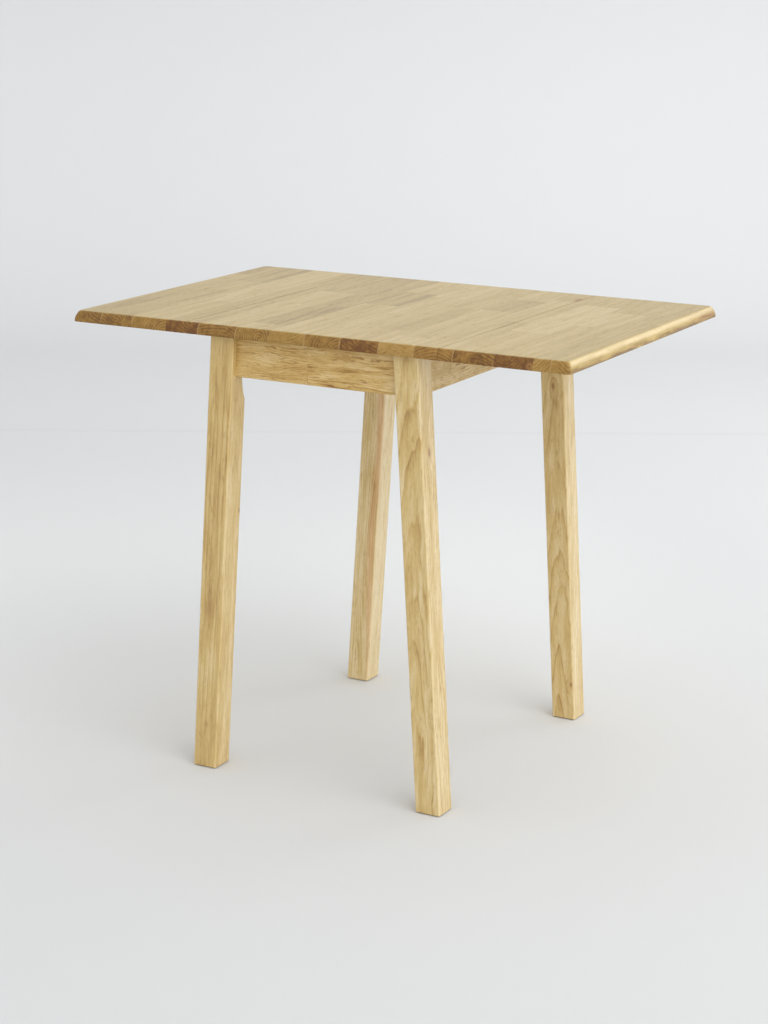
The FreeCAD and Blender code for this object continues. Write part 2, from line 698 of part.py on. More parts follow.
def corner_cutter(name, side, end):
    """Flat cut across a leg's inner corner that runs out in the cutter's radius below the apron."""
    start = APRON_BOTTOM * STRETCH
    wide = D.leg_section * 2
    flat = DOC.addObject("Part::Box", f"{name}_flat")
    bind(flat, Length=D.leg_section, Width=wide, Height=D.apron_height * 2)
    place(flat, (CUT_DISTANCE, -D.leg_section, start))
    curve = cylinder(f"{name}_curve", D.cutter_radius,
                     (CUT_DISTANCE + D.cutter_radius, -D.leg_section, start), wide, "y")
    tool = fuse(name, [flat, curve])
    return place(tool, (ZERO, end * LEG_Y, ZERO), (0, 0, 1), corner_turn(side, end))


def leg(side, end):
    """Square splayed leg, cut level at both ends, with its inner corner cut for the bracket."""
    name = f"{END_NAMES[end]}_{SIDE_NAMES[side]}_leg"
    half = HALF_LEG
    square = [(-half, -half), (half, -half), (half, half), (-half, half)]
    stick = pad(f"{name}_stick", "XY_Plane", square, AMPLE * 2)
    round_edges(stick, D.leg_arris, lambda edge: runs_along(edge, (0, 0, 1)))
    place(stick, (ZERO, end * LEG_Y, ZERO))
    bolt_hole = diagonal_cylinder(f"{name}_bolt_hole", D.bolt_radius, side, end,
                                  CUT_DISTANCE - D.bolt_grip, D.bolt_grip + D.leg_section)
    shaped = lean(cut(f"{name}_shaped", stick, [corner_cutter(f"{name}_cutter", side, end), bolt_hole]), side)
    slab = box(f"{name}_level", (-AMPLE, -AMPLE, D.glide_height),
               (AMPLE * 2, AMPLE * 2, UNDERSIDE - D.glide_height))
    level = common(f"{name}_level_ends", [shaped, slab])
    nail = cylinder(f"{name}_nail_hole", D.glide_nail_radius,
                    (side * leg_x(D.glide_height), end * LEG_Y, D.glide_height), D.glide_nail_length)
    return node(cut(name, level, [nail]), name)


def glide(side, end):
    """Nylon glide nailed under a foot."""
    name = f"{END_NAMES[end]}_{SIDE_NAMES[side]}_glide"
    centre = (side * leg_x(D.glide_height), end * LEG_Y)
    disc = cylinder(f"{name}_disc", D.glide_radius, (*centre, ZERO), D.glide_height)
    nail = cylinder(f"{name}_nail", D.glide_nail_radius, (*centre, D.glide_height), D.glide_nail_length)
    return node(fuse(name, [disc, nail]), name)


def long_apron(end):
    """Apron along X between two legs, its ends cut to the legs' slope."""
    name = f"{END_NAMES[end]}_apron"
    top = leg_x(UNDERSIDE) - HALF_LEG * STRETCH
    bottom = leg_x(APRON_BOTTOM) - HALF_LEG * STRETCH
    corners = [(-bottom, APRON_BOTTOM), (bottom, APRON_BOTTOM), (top, UNDERSIDE), (-top, UNDERSIDE)]
    body = pad(f"{name}_board", "XZ_Plane", corners, D.apron_thickness)
    round_edges(body, D.apron_ease,
                lambda edge: runs_along(edge, (1, 0, 0)) and edge.BoundBox.ZMax < APRON_BOTTOM.value + 1)
    place(body, (ZERO, end * (LEG_Y - (APRON_OUTER + APRON_INNER) / 2), ZERO))
    holes = []
    for side in (LEFT, RIGHT):
        screws = bracket_screws(f"{name}_{SIDE_NAMES[side]}_hole", side, end, "y")
        holes += [lean(item, side) for item in screws]
    for side in (LEFT, RIGHT):
        holes.append(clip_screw(f"{name}_clip_hole_{SIDE_NAMES[side]}", side, end, "y"))
    return node(cut(name, body, holes), name)


def side_apron(side):
    """Apron along Y between two legs, leaning with them, its top edge cut level."""
    name = f"{SIDE_NAMES[side]}_apron"
    span = (LEG_Y - HALF_LEG) * 2
    width, low = D.apron_thickness, APRON_BOTTOM * STRETCH
    start = -(APRON_INNER + APRON_OUTER) / 2
    half = width / 2
    corners = [(-half, low), (half, low), (half, low + D.apron_height * 2), (-half, low + D.apron_height * 2)]
    board = pad(f"{name}_board", "XZ_Plane", corners, span)
    round_edges(board, D.apron_ease,
                lambda edge: runs_along(edge, (0, 1, 0)) and edge.BoundBox.ZMax < low.value + 1)
    place(board, (side * start, ZERO, ZERO))
    holes = [side_screw_hole(f"{name}_lug_hole_{END_NAMES[end]}", side, end) for end in (NEAR, FAR)]
    for end in (NEAR, FAR):
        holes += bracket_screws(f"{name}_{END_NAMES[end]}_hole", side, end, "x")
        holes += apron_screw_bore(f"{name}_bore_{END_NAMES[end]}", side, end)
    shaped = lean(cut(f"{name}_shaped", board, holes), side)
    slab = box(f"{name}_level", (-AMPLE, -AMPLE, ZERO), (AMPLE * 2, AMPLE * 2, UNDERSIDE))
    return node(common(name, [shaped, slab]), name)


# ---------------------------------------------------------------- corner brackets and bolts

FLANGE_FIRST = BRACKET_BEND + D.flange_screw_start


def bracket_screws(name, side, end, face):
    """Screws through a corner bracket's flange into the long apron (y) or the side apron (x)."""
    items = []
    for index, along in enumerate((FLANGE_FIRST, FLANGE_FIRST + D.flange_screw_pitch)):
        seat = APRON_INNER + D.bracket_sheet
        if face == "y":
            head = (-side * along, end * LEG_Y - end * seat, BRACKET_Z)
            items.append(wood_screw(f"{name}_{index}", head, "+y" if end > 0 else "-y"))
        else:
            head = (-side * seat, end * LEG_Y - end * along, BRACKET_Z)
            items.append(wood_screw(f"{name}_{index}", head, "+x" if side > 0 else "-x"))
    return items


def corner_bracket(side, end):
    """Bent steel plate across a corner of the frame: web square to the bolt, flanges on the aprons."""
    name = f"{END_NAMES[end]}_{SIDE_NAMES[side]}_corner_bracket"
    sheet, seat = D.bracket_sheet, APRON_INNER
    tip = BRACKET_BEND + D.bracket_flange
    inner = BRACKET_SUM + sheet * ROOT_TWO - seat - sheet
    plan = [(tip, seat), (BRACKET_BEND, seat), (seat, BRACKET_BEND), (seat, tip),
            (seat + sheet, tip), (seat + sheet, inner), (inner, seat + sheet), (tip, seat + sheet)]
    corners = [(-side * u, -end * v) for u, v in plan]
    body = pad(f"{name}_sheet", "XY_Plane", corners, D.bracket_height)
    place(body, (ZERO, end * LEG_Y, BRACKET_Z))
    holes = [diagonal_cylinder(f"{name}_hole", D.bolt_radius + D.bolt_clearance, side, end,
                               WEB_DISTANCE - sheet, sheet * 3)]
    for face in "xy":
        holes += bracket_screws(f"{name}_{face}_hole", side, end, face)
    return node(lean(cut(name, body, holes), side), name)


def hanger_hardware(side, end):
    """Hanger bolt, washer and nut of one corner, in the leaning frame."""
    name = f"{END_NAMES[end]}_{SIDE_NAMES[side]}"
    back = WEB_DISTANCE + D.bracket_sheet
    whole = D.bolt_grip + (back - CUT_DISTANCE) + D.bolt_tail
    rod = diagonal_cylinder(f"{name}_hanger_rod", D.bolt_radius, side, end, CUT_DISTANCE - D.bolt_grip, whole)
    bolt = group(f"{name}_hanger_bolt", [rod])
    ring = diagonal_cylinder(f"{name}_washer_blank", D.washer_radius, side, end, back, D.washer_thickness)
    hole = diagonal_cylinder(f"{name}_washer_hole", D.bolt_radius, side, end, back, D.washer_thickness)
    washer = cut(f"{name}_washer", ring, [hole])
    seat = back + D.washer_thickness
    hexagon = DOC.addObject("Part::Prism", f"{name}_nut_blank")
    hexagon.Polygon = 6
    bind(hexagon, Circumradius=D.nut_radius, Height=D.nut_height)
    place(hexagon, on_diagonal(side, end, seat, BRACKET_Z))
    hexagon.Placement.Rotation = FreeCAD.Rotation(FreeCAD.Vector(0, 0, 1), FreeCAD.Vector(-side, -end, 0))
    thread = diagonal_cylinder(f"{name}_nut_thread", D.bolt_radius, side, end, seat, D.nut_height)
    nut = cut(f"{name}_nut", hexagon, [thread])
    return [lean(item, side) for item in (bolt, washer, nut)]


# ---------------------------------------------------------------- what holds the fixed board down

def clip_seat(end):
    """Y of the inner face of a long apron."""
    return end * (LEG_Y - APRON_INNER)


def clip_screw(name, side, end, face):
    """Screw of a top clip: into the apron (y) or up into the fixed board (z)."""
    middle = (D.clip_leg + D.clip_sheet) / 2
    if face == "y":
        head = (side * D.clip_spread, clip_seat(end) - end * D.clip_sheet, UNDERSIDE - middle)
        return wood_screw(name, head, "+y" if end > 0 else "-y")
    head = (side * D.clip_spread, clip_seat(end) - end * middle, UNDERSIDE - D.clip_sheet)
    return wood_screw(name, head, "+z")


def top_clip(side, end):
    """Steel angle between a long apron and the fixed board."""
    name = f"{END_NAMES[end]}_{SIDE_NAMES[side]}_clip"
    low = side * D.clip_spread - D.clip_width / 2
    seat = LEG_Y - APRON_INNER
    front = low_of(end, seat - D.clip_sheet, D.clip_sheet)
    upright = box(f"{name}_upright", (low, front, UNDERSIDE - D.clip_leg),
                  (D.clip_width, D.clip_sheet, D.clip_leg))
    level = box(f"{name}_level", (low, low_of(end, seat - D.clip_leg, D.clip_leg), UNDERSIDE - D.clip_sheet),
                (D.clip_width, D.clip_leg, D.clip_sheet))
    holes = [clip_screw(f"{name}_hole_{face}", side, end, face) for face in "yz"]
    return cut(name, fuse(f"{name}_blank", [upright, level]), holes)


def apron_screw_line(side, end):
    """X and Y of a screw up through a side apron, in the leaning frame."""
    return -side * (APRON_INNER + APRON_OUTER) / 2, end * APRON_SCREW_Y


APRON_SCREW_SEAT = (UNDERSIDE - D.apron_screw_wood) * STRETCH


def apron_screw_bore(name, side, end):
    """Counterbore and clearance hole in a side apron."""
    x, y = apron_screw_line(side, end)
    low = APRON_BOTTOM * STRETCH
    return [cylinder(f"{name}_deep", D.apron_screw_bore, (x, y, low), APRON_SCREW_SEAT - low),
            cylinder(f"{name}_thin", D.apron_screw_radius, (x, y, low), D.apron_height * 2)]


def apron_screw(name, side, end):
    """Round-head screw up through a side apron into the fixed board, in the leaning frame."""
    x, y = apron_screw_line(side, end)
    head = cylinder(f"{name}_head", D.apron_screw_head, (x, y, APRON_SCREW_SEAT - D.apron_screw_head / 2),
                    D.apron_screw_head / 2)
    shank = cylinder(f"{name}_shank", D.apron_screw_radius, (x, y, APRON_SCREW_SEAT),
                     (D.apron_screw_wood + D.apron_screw_bite) * STRETCH)
    return lean(fuse(name, [head, shank]), side)


# ---------------------------------------------------------------- assembly

HINGES = [(side, end) for side in (LEFT, RIGHT) for end in (NEAR, FAR)]


def hinge_y(end):
    """Y of the middle of a hinge."""
    return end * HINGE_Y


def fixed_top():
    """Fixed board: rounded near and far edges, square seams, recesses and pilot holes below."""
    blank = end_profile("fixed_top_blank", D.fixed_top_length - D.seam_gap)
    place(blank, (ZERO, ZERO, UNDERSIDE))
    tools = []
    for side, end in HINGES:
        name = f"fixed_top_{SIDE_NAMES[side]}_{END_NAMES[end]}"
        tools.append(hinge_mortise(f"{name}_mortise", side, hinge_y(end), False))
        for index, point in enumerate(hinge_screw_points(side, hinge_y(end), False)):
            tools.append(screw_hole(f"{name}_pilot_{index}", point))
        tools.append(clip_screw(f"{name}_clip_pilot", side, end, "z"))
        tools.append(apron_screw(f"{name}_apron_pilot", side, end))
    return node(cut("fixed_top", blank, tools), "fixed_top")


def leaf(side):
    """Drop leaf with its hinge recesses and pilot holes."""
    name = f"{SIDE_NAMES[side]}_leaf"
    tools = []
    for end in (NEAR, FAR):
        tools.append(hinge_mortise(f"{name}_{END_NAMES[end]}_mortise", side, hinge_y(end), True))
        for index, point in enumerate(hinge_screw_points(side, hinge_y(end), True)):
            tools.append(screw_hole(f"{name}_{END_NAMES[end]}_pilot_{index}", point))
    for index, point in enumerate(rail_screw_points(side)):
        tools.append(screw_hole(f"{name}_rail_pilot_{index}", point))
    return node(cut(name, leaf_board(side), tools), name)


def build_hinges():
    """Four hinges: frame plate, leaf plate and pin each, and their screws by the body they are in."""
    screws = {"frame": [], LEFT: [], RIGHT: []}
    for side, end in HINGES:
        name = f"{SIDE_NAMES[side]}_{END_NAMES[end]}_hinge"
        hinge_plate(f"{name}_frame_plate", side, hinge_y(end), False)
        hinge_plate(f"{name}_leaf_plate", side, hinge_y(end), True)
        low = hinge_y(end) - D.hinge_length / 2
        node(cylinder(f"{name}_pin", D.pin_radius, (side * SEAM_X, low, UNDERSIDE), D.hinge_length, "y"),
             f"{name}_pin")
        for turns, key in ((False, "frame"), (True, side)):
            for index, point in enumerate(hinge_screw_points(side, hinge_y(end), turns)):
                screws[key].append(wood_screw(f"{name}_screw_{key}_{index}".replace("-", "m"), point, "+z"))
    node(group("fixed_top_hinge_screws", screws["frame"]), "fixed_top_hinge_screws")
    for side in (LEFT, RIGHT):
        name = f"{SIDE_NAMES[side]}_leaf_hinge_screws"
        node(group(name, screws[side]), name)


def build_stays():
    """Both leaf stays with their screws."""
    lug_screws = []
    for side in (LEFT, RIGHT):
        pivot_bracket(side)
        strut(side)
        stay_pins(side)
        rail(side)
        name = f"{SIDE_NAMES[side]}_rail_screws"
        node(group(name, [wood_screw(f"{name}_{index}", point, "+z")
                          for index, point in enumerate(rail_screw_points(side))]), name)
        for end in (NEAR, FAR):
            screw = side_screw_hole(f"{SIDE_NAMES[side]}_lug_screw_{END_NAMES[end]}", side, end)
            lug_screws.append(lean(screw, side))
    node(group("stay_bracket_screws", lug_screws), "stay_bracket_screws")


def build_frame():
    """Legs, glides, aprons, corner brackets and all that fastens them."""
    bolts, washers, nuts, bracket_screw_items = [], [], [], []
    clips, clip_screws, apron_screws = [], [], []
    for side, end in HINGES:
        name = f"{END_NAMES[end]}_{SIDE_NAMES[side]}"
        leg(side, end)
        glide(side, end)
        corner_bracket(side, end)
        for item, items in zip(hanger_hardware(side, end), (bolts, washers, nuts)):
            items.append(item)
        for face in "xy":
            screws = bracket_screws(f"{name}_bracket_screw_{face}", side, end, face)
            bracket_screw_items += [lean(item, side) for item in screws]
        clips.append(top_clip(side, end))
        clip_screws += [clip_screw(f"{name}_clip_screw_{face}", side, end, face) for face in "yz"]
        apron_screws.append(apron_screw(f"{name}_apron_screw", side, end))
    for end in (NEAR, FAR):
        long_apron(end)
    for side in (LEFT, RIGHT):
        side_apron(side)
    for name, items in (("hanger_bolts", bolts), ("hanger_washers", washers), ("hanger_nuts", nuts),
                        ("corner_bracket_screws", bracket_screw_items), ("top_clips", clips),
                        ("top_clip_screws", clip_screws), ("apron_screws", apron_screws)):
        node(group(name, items), name)


def check_and_export():
    """Stop on any failed object, then write one STEP file for each sub-part."""
    DOC.recompute()
    for item in DOC.Objects:
        if "Invalid" in item.State or "Error" in item.State:
            raise RuntimeError(f"{item.Name} ({item.Label}) failed: {item.State}")
    os.makedirs("parts", exist_ok=True)
    for name, item in NODES.items():
        shape = item.Shape
        if shape.isNull() or not shape.isValid():
            raise RuntimeError(f"{name} has no valid shape")
        if not shape.Solids:
            raise RuntimeError(f"{name} holds no solid")
    for name, item in NODES.items():
        item.Shape.exportStep(f"parts/{name}.step")
    print(f"{len(NODES)} sub-parts")
    ratio = (math.pi / 2 + math.asin(RAISED_RISE.value / D.strut_length.value)
             - math.asin(LOWERED_RISE.value / D.strut_length.value)) / (math.pi / 2)
    print(f"hinge axis x {SEAM_X.value:.3f} z {UNDERSIDE.value:.3f}")
    print(f"strut pivot x {PIVOT_X.value:.3f} z {PIVOT_Z.value:.3f}, strut to leaf ratio {ratio:.6f}")


fixed_top()
for leaf_side in (LEFT, RIGHT):
    leaf(leaf_side)
build_frame()
build_hinges()
build_stays()
check_and_export()
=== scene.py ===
"""Finish of the butterfly folding table: its boards, legs, aprons and steelwork, and the studio round it."""
import json
import logging
import math
import random
from contextlib import contextmanager
from dataclasses import dataclass
from enum import Enum
from typing import Callable, Iterator, Sequence, Union

import bmesh
import bpy
from mathutils import Matrix, Vector

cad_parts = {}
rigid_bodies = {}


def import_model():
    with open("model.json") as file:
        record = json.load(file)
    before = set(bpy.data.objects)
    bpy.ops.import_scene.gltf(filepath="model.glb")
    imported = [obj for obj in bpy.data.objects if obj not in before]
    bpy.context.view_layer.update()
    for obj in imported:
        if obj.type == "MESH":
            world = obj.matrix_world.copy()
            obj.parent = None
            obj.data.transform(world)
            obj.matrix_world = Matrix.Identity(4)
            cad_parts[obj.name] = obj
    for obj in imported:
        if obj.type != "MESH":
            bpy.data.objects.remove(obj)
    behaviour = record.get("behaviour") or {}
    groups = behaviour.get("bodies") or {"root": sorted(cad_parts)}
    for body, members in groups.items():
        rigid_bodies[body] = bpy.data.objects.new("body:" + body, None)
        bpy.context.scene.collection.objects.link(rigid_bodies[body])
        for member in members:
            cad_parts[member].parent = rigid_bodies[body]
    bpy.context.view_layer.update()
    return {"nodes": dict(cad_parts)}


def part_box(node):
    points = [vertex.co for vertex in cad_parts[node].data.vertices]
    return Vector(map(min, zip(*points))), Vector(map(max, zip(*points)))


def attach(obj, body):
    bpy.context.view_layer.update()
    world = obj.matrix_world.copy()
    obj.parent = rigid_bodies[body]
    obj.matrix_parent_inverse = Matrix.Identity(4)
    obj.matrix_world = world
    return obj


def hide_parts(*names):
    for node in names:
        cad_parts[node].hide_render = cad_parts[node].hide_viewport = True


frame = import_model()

LOG = logging.getLogger("table")
MM = 0.001
FAR_OFF = 9.0  # metres; beyond every part of the table

Pair = tuple[float, float]
Place = tuple[float, float, float]
Colour = tuple[float, float, float]
Number = Union[float, "Signal"]
Test = Callable[[Vector, Vector], bool]


# ---- shader maths


def operator(operation: str, reflected: bool = False) -> Callable[["Signal", Number], "Signal"]:
    """Method of a signal that adds a Math node.

    Args:
        operation: the Math node's operation.
        reflected: whether the signal is the second of the two values.

    Returns:
        The method, which takes the other value.
    """

    def method(signal: "Signal", other: Number) -> "Signal":
        """Result of the operation."""
        values = (other, signal) if reflected else (signal, other)
        return signal.graph.maths(operation, *values)

    return method


class Signal:
    """Value in a shader that takes part in Python arithmetic."""

    __add__ = __radd__ = operator("ADD")
    __sub__ = operator("SUBTRACT")
    __rsub__ = operator("SUBTRACT", reflected=True)
    __mul__ = __rmul__ = operator("MULTIPLY")
    __truediv__ = operator("DIVIDE")
    __pow__ = operator("POWER")
    least = operator("MINIMUM")
    most = operator("MAXIMUM")

    def __init__(self, graph: "Graph", socket: bpy.types.NodeSocket) -> None:
        """Wrap an output socket of a graph."""
        self.graph = graph
        self.socket = socket

    def step(self, low: float, high: float) -> "Signal":
        """Smooth rise from 0 at low to 1 at high; low may be the larger."""
        flip = low > high
        sockets = {
            "Value": self,
            "From Min": min(low, high),
            "From Max": max(low, high),
            "To Min": 1.0 if flip else 0.0,
            "To Max": 0.0 if flip else 1.0,
        }
        node = self.graph.node("ShaderNodeMapRange", {"interpolation_type": "SMOOTHSTEP"}, sockets)
        return Signal(self.graph, node.outputs[0])


class Graph:
    """Material or world under construction."""

    def __init__(self, name: str, world: bool = False) -> None:
        """Start with an empty node tree."""
        self.owner = (bpy.data.worlds if world else bpy.data.materials).new(name)
        self.owner.use_nodes = True
        self.tree = self.owner.node_tree
        self.tree.nodes.clear()

    def node(self, kind: str, settings: dict | None = None, sockets: dict | None = None) -> bpy.types.Node:
        """Add a node.

        Args:
            kind: the node's type.
            settings: properties of the node; "stops" gives a ramp's positions and colours.
            sockets: values or links of its inputs, by name or index.

        Returns:
            The new node.
        """
        made = self.tree.nodes.new(kind)
        for key, value in (settings or {}).items():
            if key == "stops":
                self.fill_ramp(made.color_ramp, value)
            else:
                setattr(made, key, value)
        for key, value in (sockets or {}).items():
            self.join(value, made.inputs[key])
        return made

    @staticmethod
    def fill_ramp(ramp: bpy.types.ColorRamp, stops: Sequence[tuple[float, Colour]]) -> None:
        """Give a colour ramp its stops."""
        while len(ramp.elements) < len(stops):
            ramp.elements.new(1.0)
        for element, (position, colour) in zip(ramp.elements, stops):
            element.position = position
            element.color = (*colour, 1.0)

    def join(self, value: object, target: bpy.types.NodeSocket) -> None:
        """Link a signal or socket to an input, or set the input's own value."""
        if isinstance(value, Signal):
            self.tree.links.new(value.socket, target)
        elif isinstance(value, bpy.types.NodeSocket):
            self.tree.links.new(value, target)
        else:
            target.default_value = value

    def maths(self, operation: str, *values: Number) -> Signal:
        """Math node on one to three values."""
        node = self.node("ShaderNodeMath", {"operation": operation}, dict(enumerate(values)))
        return Signal(self, node.outputs[0])

    def scaled(self, vector: bpy.types.NodeSocket, factors: Place) -> bpy.types.NodeSocket:
        """Vector multiplied component by component."""
        node = self.node("ShaderNodeVectorMath", {"operation": "MULTIPLY"}, {0: vector, 1: factors})
        return node.outputs[0]

    def noise(
        self, vector: bpy.types.NodeSocket, factors: Place, detail: float = 2.0, rough: float = 0.5
    ) -> Signal:
        """Noise about 0.5 on a scaled vector."""
        place = self.scaled(vector, factors)
        sockets = {"Vector": place, "Scale": 1.0, "Detail": detail, "Roughness": rough}
        node = self.node("ShaderNodeTexNoise", {"noise_dimensions": "3D"}, sockets)
        return Signal(self, node.outputs[0])

    def figure(
        self, place: bpy.types.NodeSocket, wide: float, long: float, detail: float = 2.0, rough: float = 0.5
    ) -> Signal:
        """Noise about 0.5 that is drawn out along the grain; sizes in millimetres."""
        return self.noise(place, (1 / wide, 1 / long, 1 / wide), detail, rough)

    def mix(self, factor: Number, first: object, second: object, blend: str = "MIX") -> bpy.types.NodeSocket:
        """Mix of two colours."""
        colours = [(*c, 1.0) if isinstance(c, tuple) else c for c in (first, second)]
        settings = {"data_type": "RGBA", "blend_type": blend, "clamp_factor": True}
        sockets = {0: factor, 6: colours[0], 7: colours[1]}
        return self.node("ShaderNodeMix", settings, sockets).outputs[2]

    def attribute(self, name: str) -> bpy.types.NodeSocket:
        """Vector attribute of the mesh."""
        node = self.node("ShaderNodeAttribute", {"attribute_type": "GEOMETRY", "attribute_name": name})
        return node.outputs["Vector"]

    def split(self, vector: bpy.types.NodeSocket) -> tuple[Signal, Signal, Signal]:
        """Three components of a vector."""
        node = self.node("ShaderNodeSeparateXYZ", {}, {0: vector})
        return tuple(Signal(self, out) for out in node.outputs)

    def surface(self, sockets: dict) -> bpy.types.Material:
        """Finish the material with a principled shader."""
        return self.finish(self.node("ShaderNodeBsdfPrincipled", {}, sockets).outputs[0])

    def finish(self, shader: bpy.types.NodeSocket) -> bpy.types.Material | bpy.types.World:
        """Lead a shader to the surface and return the material or world."""
        kind = "World" if isinstance(self.owner, bpy.types.World) else "Material"
        self.node(f"ShaderNodeOutput{kind}", {}, {"Surface": shader})
        return self.owner


# ---- finishes


@dataclass(frozen=True)
class Rubberwood:
    """Clear-lacquered rubberwood with rings, fibres, pores, glue lines and knots.

    The mesh carries the place in the log in millimetres ("grain": across, along, depth from the pith),
    the look of its block ("tint": shade, which holds a painted highlight on the arrises, painted shade on
    the boards' upright end faces and painted sheen on the legs' side faces, redness, share of end grain),
    the distances to the sides of its block with the strength of the stain round the pith ("joint_low")
    and of the patches ("joint_high"), and the offset from its knot in knot radii ("knot").
    """

    name: str
    stops: tuple[tuple[float, Colour], ...]
    ring_width: float = 4.6
    ring_strength: float = 0.22
    ring_sharpness: float = 2.2
    streak_strength: float = 0.6
    fibre_strength: float = 0.4
    pore_strength: float = 0.4
    waviness: float = 4.0
    roughness: float = 0.40
    coat: float = 0.5
    coat_roughness: float = 0.22

    def material(self) -> bpy.types.Material:
        """Build the node material."""
        g = Graph(self.name)
        grain = g.attribute("grain")
        across, along, depth = g.split(grain)
        shade, red, end = g.split(g.attribute("tint"))
        drift = g.figure(grain, 55, 330) - 0.5
        sway = g.figure(grain, 14, 70) - 0.5
        offset = g.split(g.attribute("knot"))
        reach = g.maths("SQRT", offset[0] * offset[0] + offset[1] * offset[1] + offset[2] * offset[2])
        near_knot = reach.step(5.0, 0.8)
        x = across + drift * 26 + sway * self.waviness
        z = depth + drift * 14
        log = g.node("ShaderNodeCombineXYZ", {}, {0: x, 1: along, 2: z}).outputs[0]
        radius = g.maths("SQRT", x * x + z * z) - near_knot * 5
        phase = g.maths("FRACT", radius / self.ring_width + sway * 0.8)
        late = phase ** self.ring_sharpness * phase.step(1.0, 0.9)
        ring_mix = g.figure(grain, 24, 200, 1.0).step(0.3, 0.6)
        streak = g.figure(log, 5.0, 240, 3.0, 0.6) - 0.5
        fibre = g.figure(log, 1.5, 110, 3.0, 0.7) - 0.5
        cloud = g.figure(grain, 20, 260) - 0.5
        flecks = g.figure(log, 9, 60, 2.0, 0.6) - 0.5
        dashes = g.figure(log, 1.5, 19, 1.5).step(0.56, 0.66)
        specks = g.figure(log, 0.8, 7, 1.0).step(0.58, 0.66)
        patches = g.figure(grain, 12, 60).step(0.36, 0.58)
        pores = (dashes * patches).most(specks * 0.5)
        sides = [g.split(g.attribute(name)) for name in ("joint_low", "joint_high")]
        tone = (
            shade
            + (late - 0.25) * ring_mix * self.ring_strength * (1 + end * 2.2)
            + streak * self.streak_strength
            + fibre * self.fibre_strength
            + cloud * 0.68
            + flecks * (end * 0.9 + sides[1][2] * 3.2)
        )
        ramp = g.node("ShaderNodeValToRGB", {"stops": self.stops}, {0: tone})
        heart = radius.step(11.0, 3.0) * sides[0][2]
        ruddy = g.mix(red * 0.45 + heart * 0.45, ramp.outputs[0], (0.95, 0.60, 0.42), "MULTIPLY")
        sunk = g.mix(end, ruddy, (0.67, 0.535, 0.35), "MULTIPLY")
        pored = g.mix(pores * self.pore_strength, sunk, (0.52, 0.36, 0.20), "MULTIPLY")
        gap = sides[0][0].least(sides[1][0]).least(sides[0][1].least(sides[1][1]))
        broken = g.figure(grain, 30, 30, 1.0).step(0.36, 0.55)
        glue = (gap - end * 0.5).step(0.6, 0.1) * broken
        dark_glue = g.mix(glue * 0.5, pored, (0.24, 0.145, 0.06))
        pale_glue = g.mix(glue * 0.4, pored, (0.56, 0.40, 0.19))
        lined = g.mix(end.step(0.2, 0.6), dark_glue, pale_glue)
        halo = g.mix(reach.step(3.2, 0.9) * 0.4, lined, (0.50, 0.27, 0.085))
        knot = reach.step(1.3, 0.4) * (0.7 + sway)
        colour = g.mix(knot, halo, (0.18, 0.085, 0.012))
        rough = self.roughness + fibre * 0.12 + pores * 0.15 + end * 0.08 + knot * 0.1
        relief = fibre * 0.35 - pores * 0.8 - late * 0.15 - glue * 0.5
        bump = g.node("ShaderNodeBump", {}, {"Strength": 0.35, "Distance": 0.00012, "Height": relief})
        sockets = {
            "Base Color": colour,
            "Roughness": rough,
            "IOR": 1.45,
            "Coat Weight": (1 - end * 0.6 - knot * 0.8).most(0.0) * self.coat,
            "Coat Roughness": self.coat_roughness,
            "Normal": bump.outputs[0],
        }
        return g.surface(sockets)


@dataclass(frozen=True)
class ZincSteel:
    """Zinc-plated steel with a slight yellow cast, cloudy crystals and rub marks."""

    name: str = "zinc_plated_steel"
    bright: Colour = (0.66, 0.66, 0.64)
    dull: Colour = (0.50, 0.50, 0.49)
    roughness: float = 0.34

    def material(self) -> bpy.types.Material:
        """Build the node material."""
        g = Graph(self.name)
        place = g.node("ShaderNodeTexCoord").outputs["Object"]
        cloud = g.noise(place, (160.0,) * 3, 3.0)
        rub = g.noise(place, (2600.0, 150.0, 900.0), 2.0, 0.7)
        colour = g.mix(cloud.step(0.35, 0.65), self.bright, self.dull)
        rough = self.roughness + (cloud - 0.5) * 0.25 + (rub - 0.5) * 0.2
        bump = g.node("ShaderNodeBump", {}, {"Strength": 0.2, "Distance": 0.00005, "Height": rub})
        sockets = {"Base Color": colour, "Roughness": rough, "Metallic": 1.0, "Normal": bump.outputs[0]}
        return g.surface(sockets)


@dataclass(frozen=True)
class Nylon:
    """Moulded nylon, a little cloudy, with a fine matt texture."""

    name: str = "moulded_nylon"
    colour: Colour = (0.55, 0.53, 0.48)
    roughness: float = 0.45

    def material(self) -> bpy.types.Material:
        """Build the node material."""
        g = Graph(self.name)
        place = g.node("ShaderNodeTexCoord").outputs["Object"]
        cloud = g.noise(place, (90.0,) * 3, 2.0)
        grit = g.noise(place, (3500.0,) * 3, 1.0)
        deep = tuple(part * 0.86 for part in self.colour)
        colour = g.mix(cloud, self.colour, deep)
        bump = g.node("ShaderNodeBump", {}, {"Strength": 0.25, "Distance": 0.00004, "Height": grit})
        rough = self.roughness + (cloud - 0.5) * 0.1
        sockets = {"Base Color": colour, "Roughness": rough, "Normal": bump.outputs[0]}
        return g.surface(sockets)


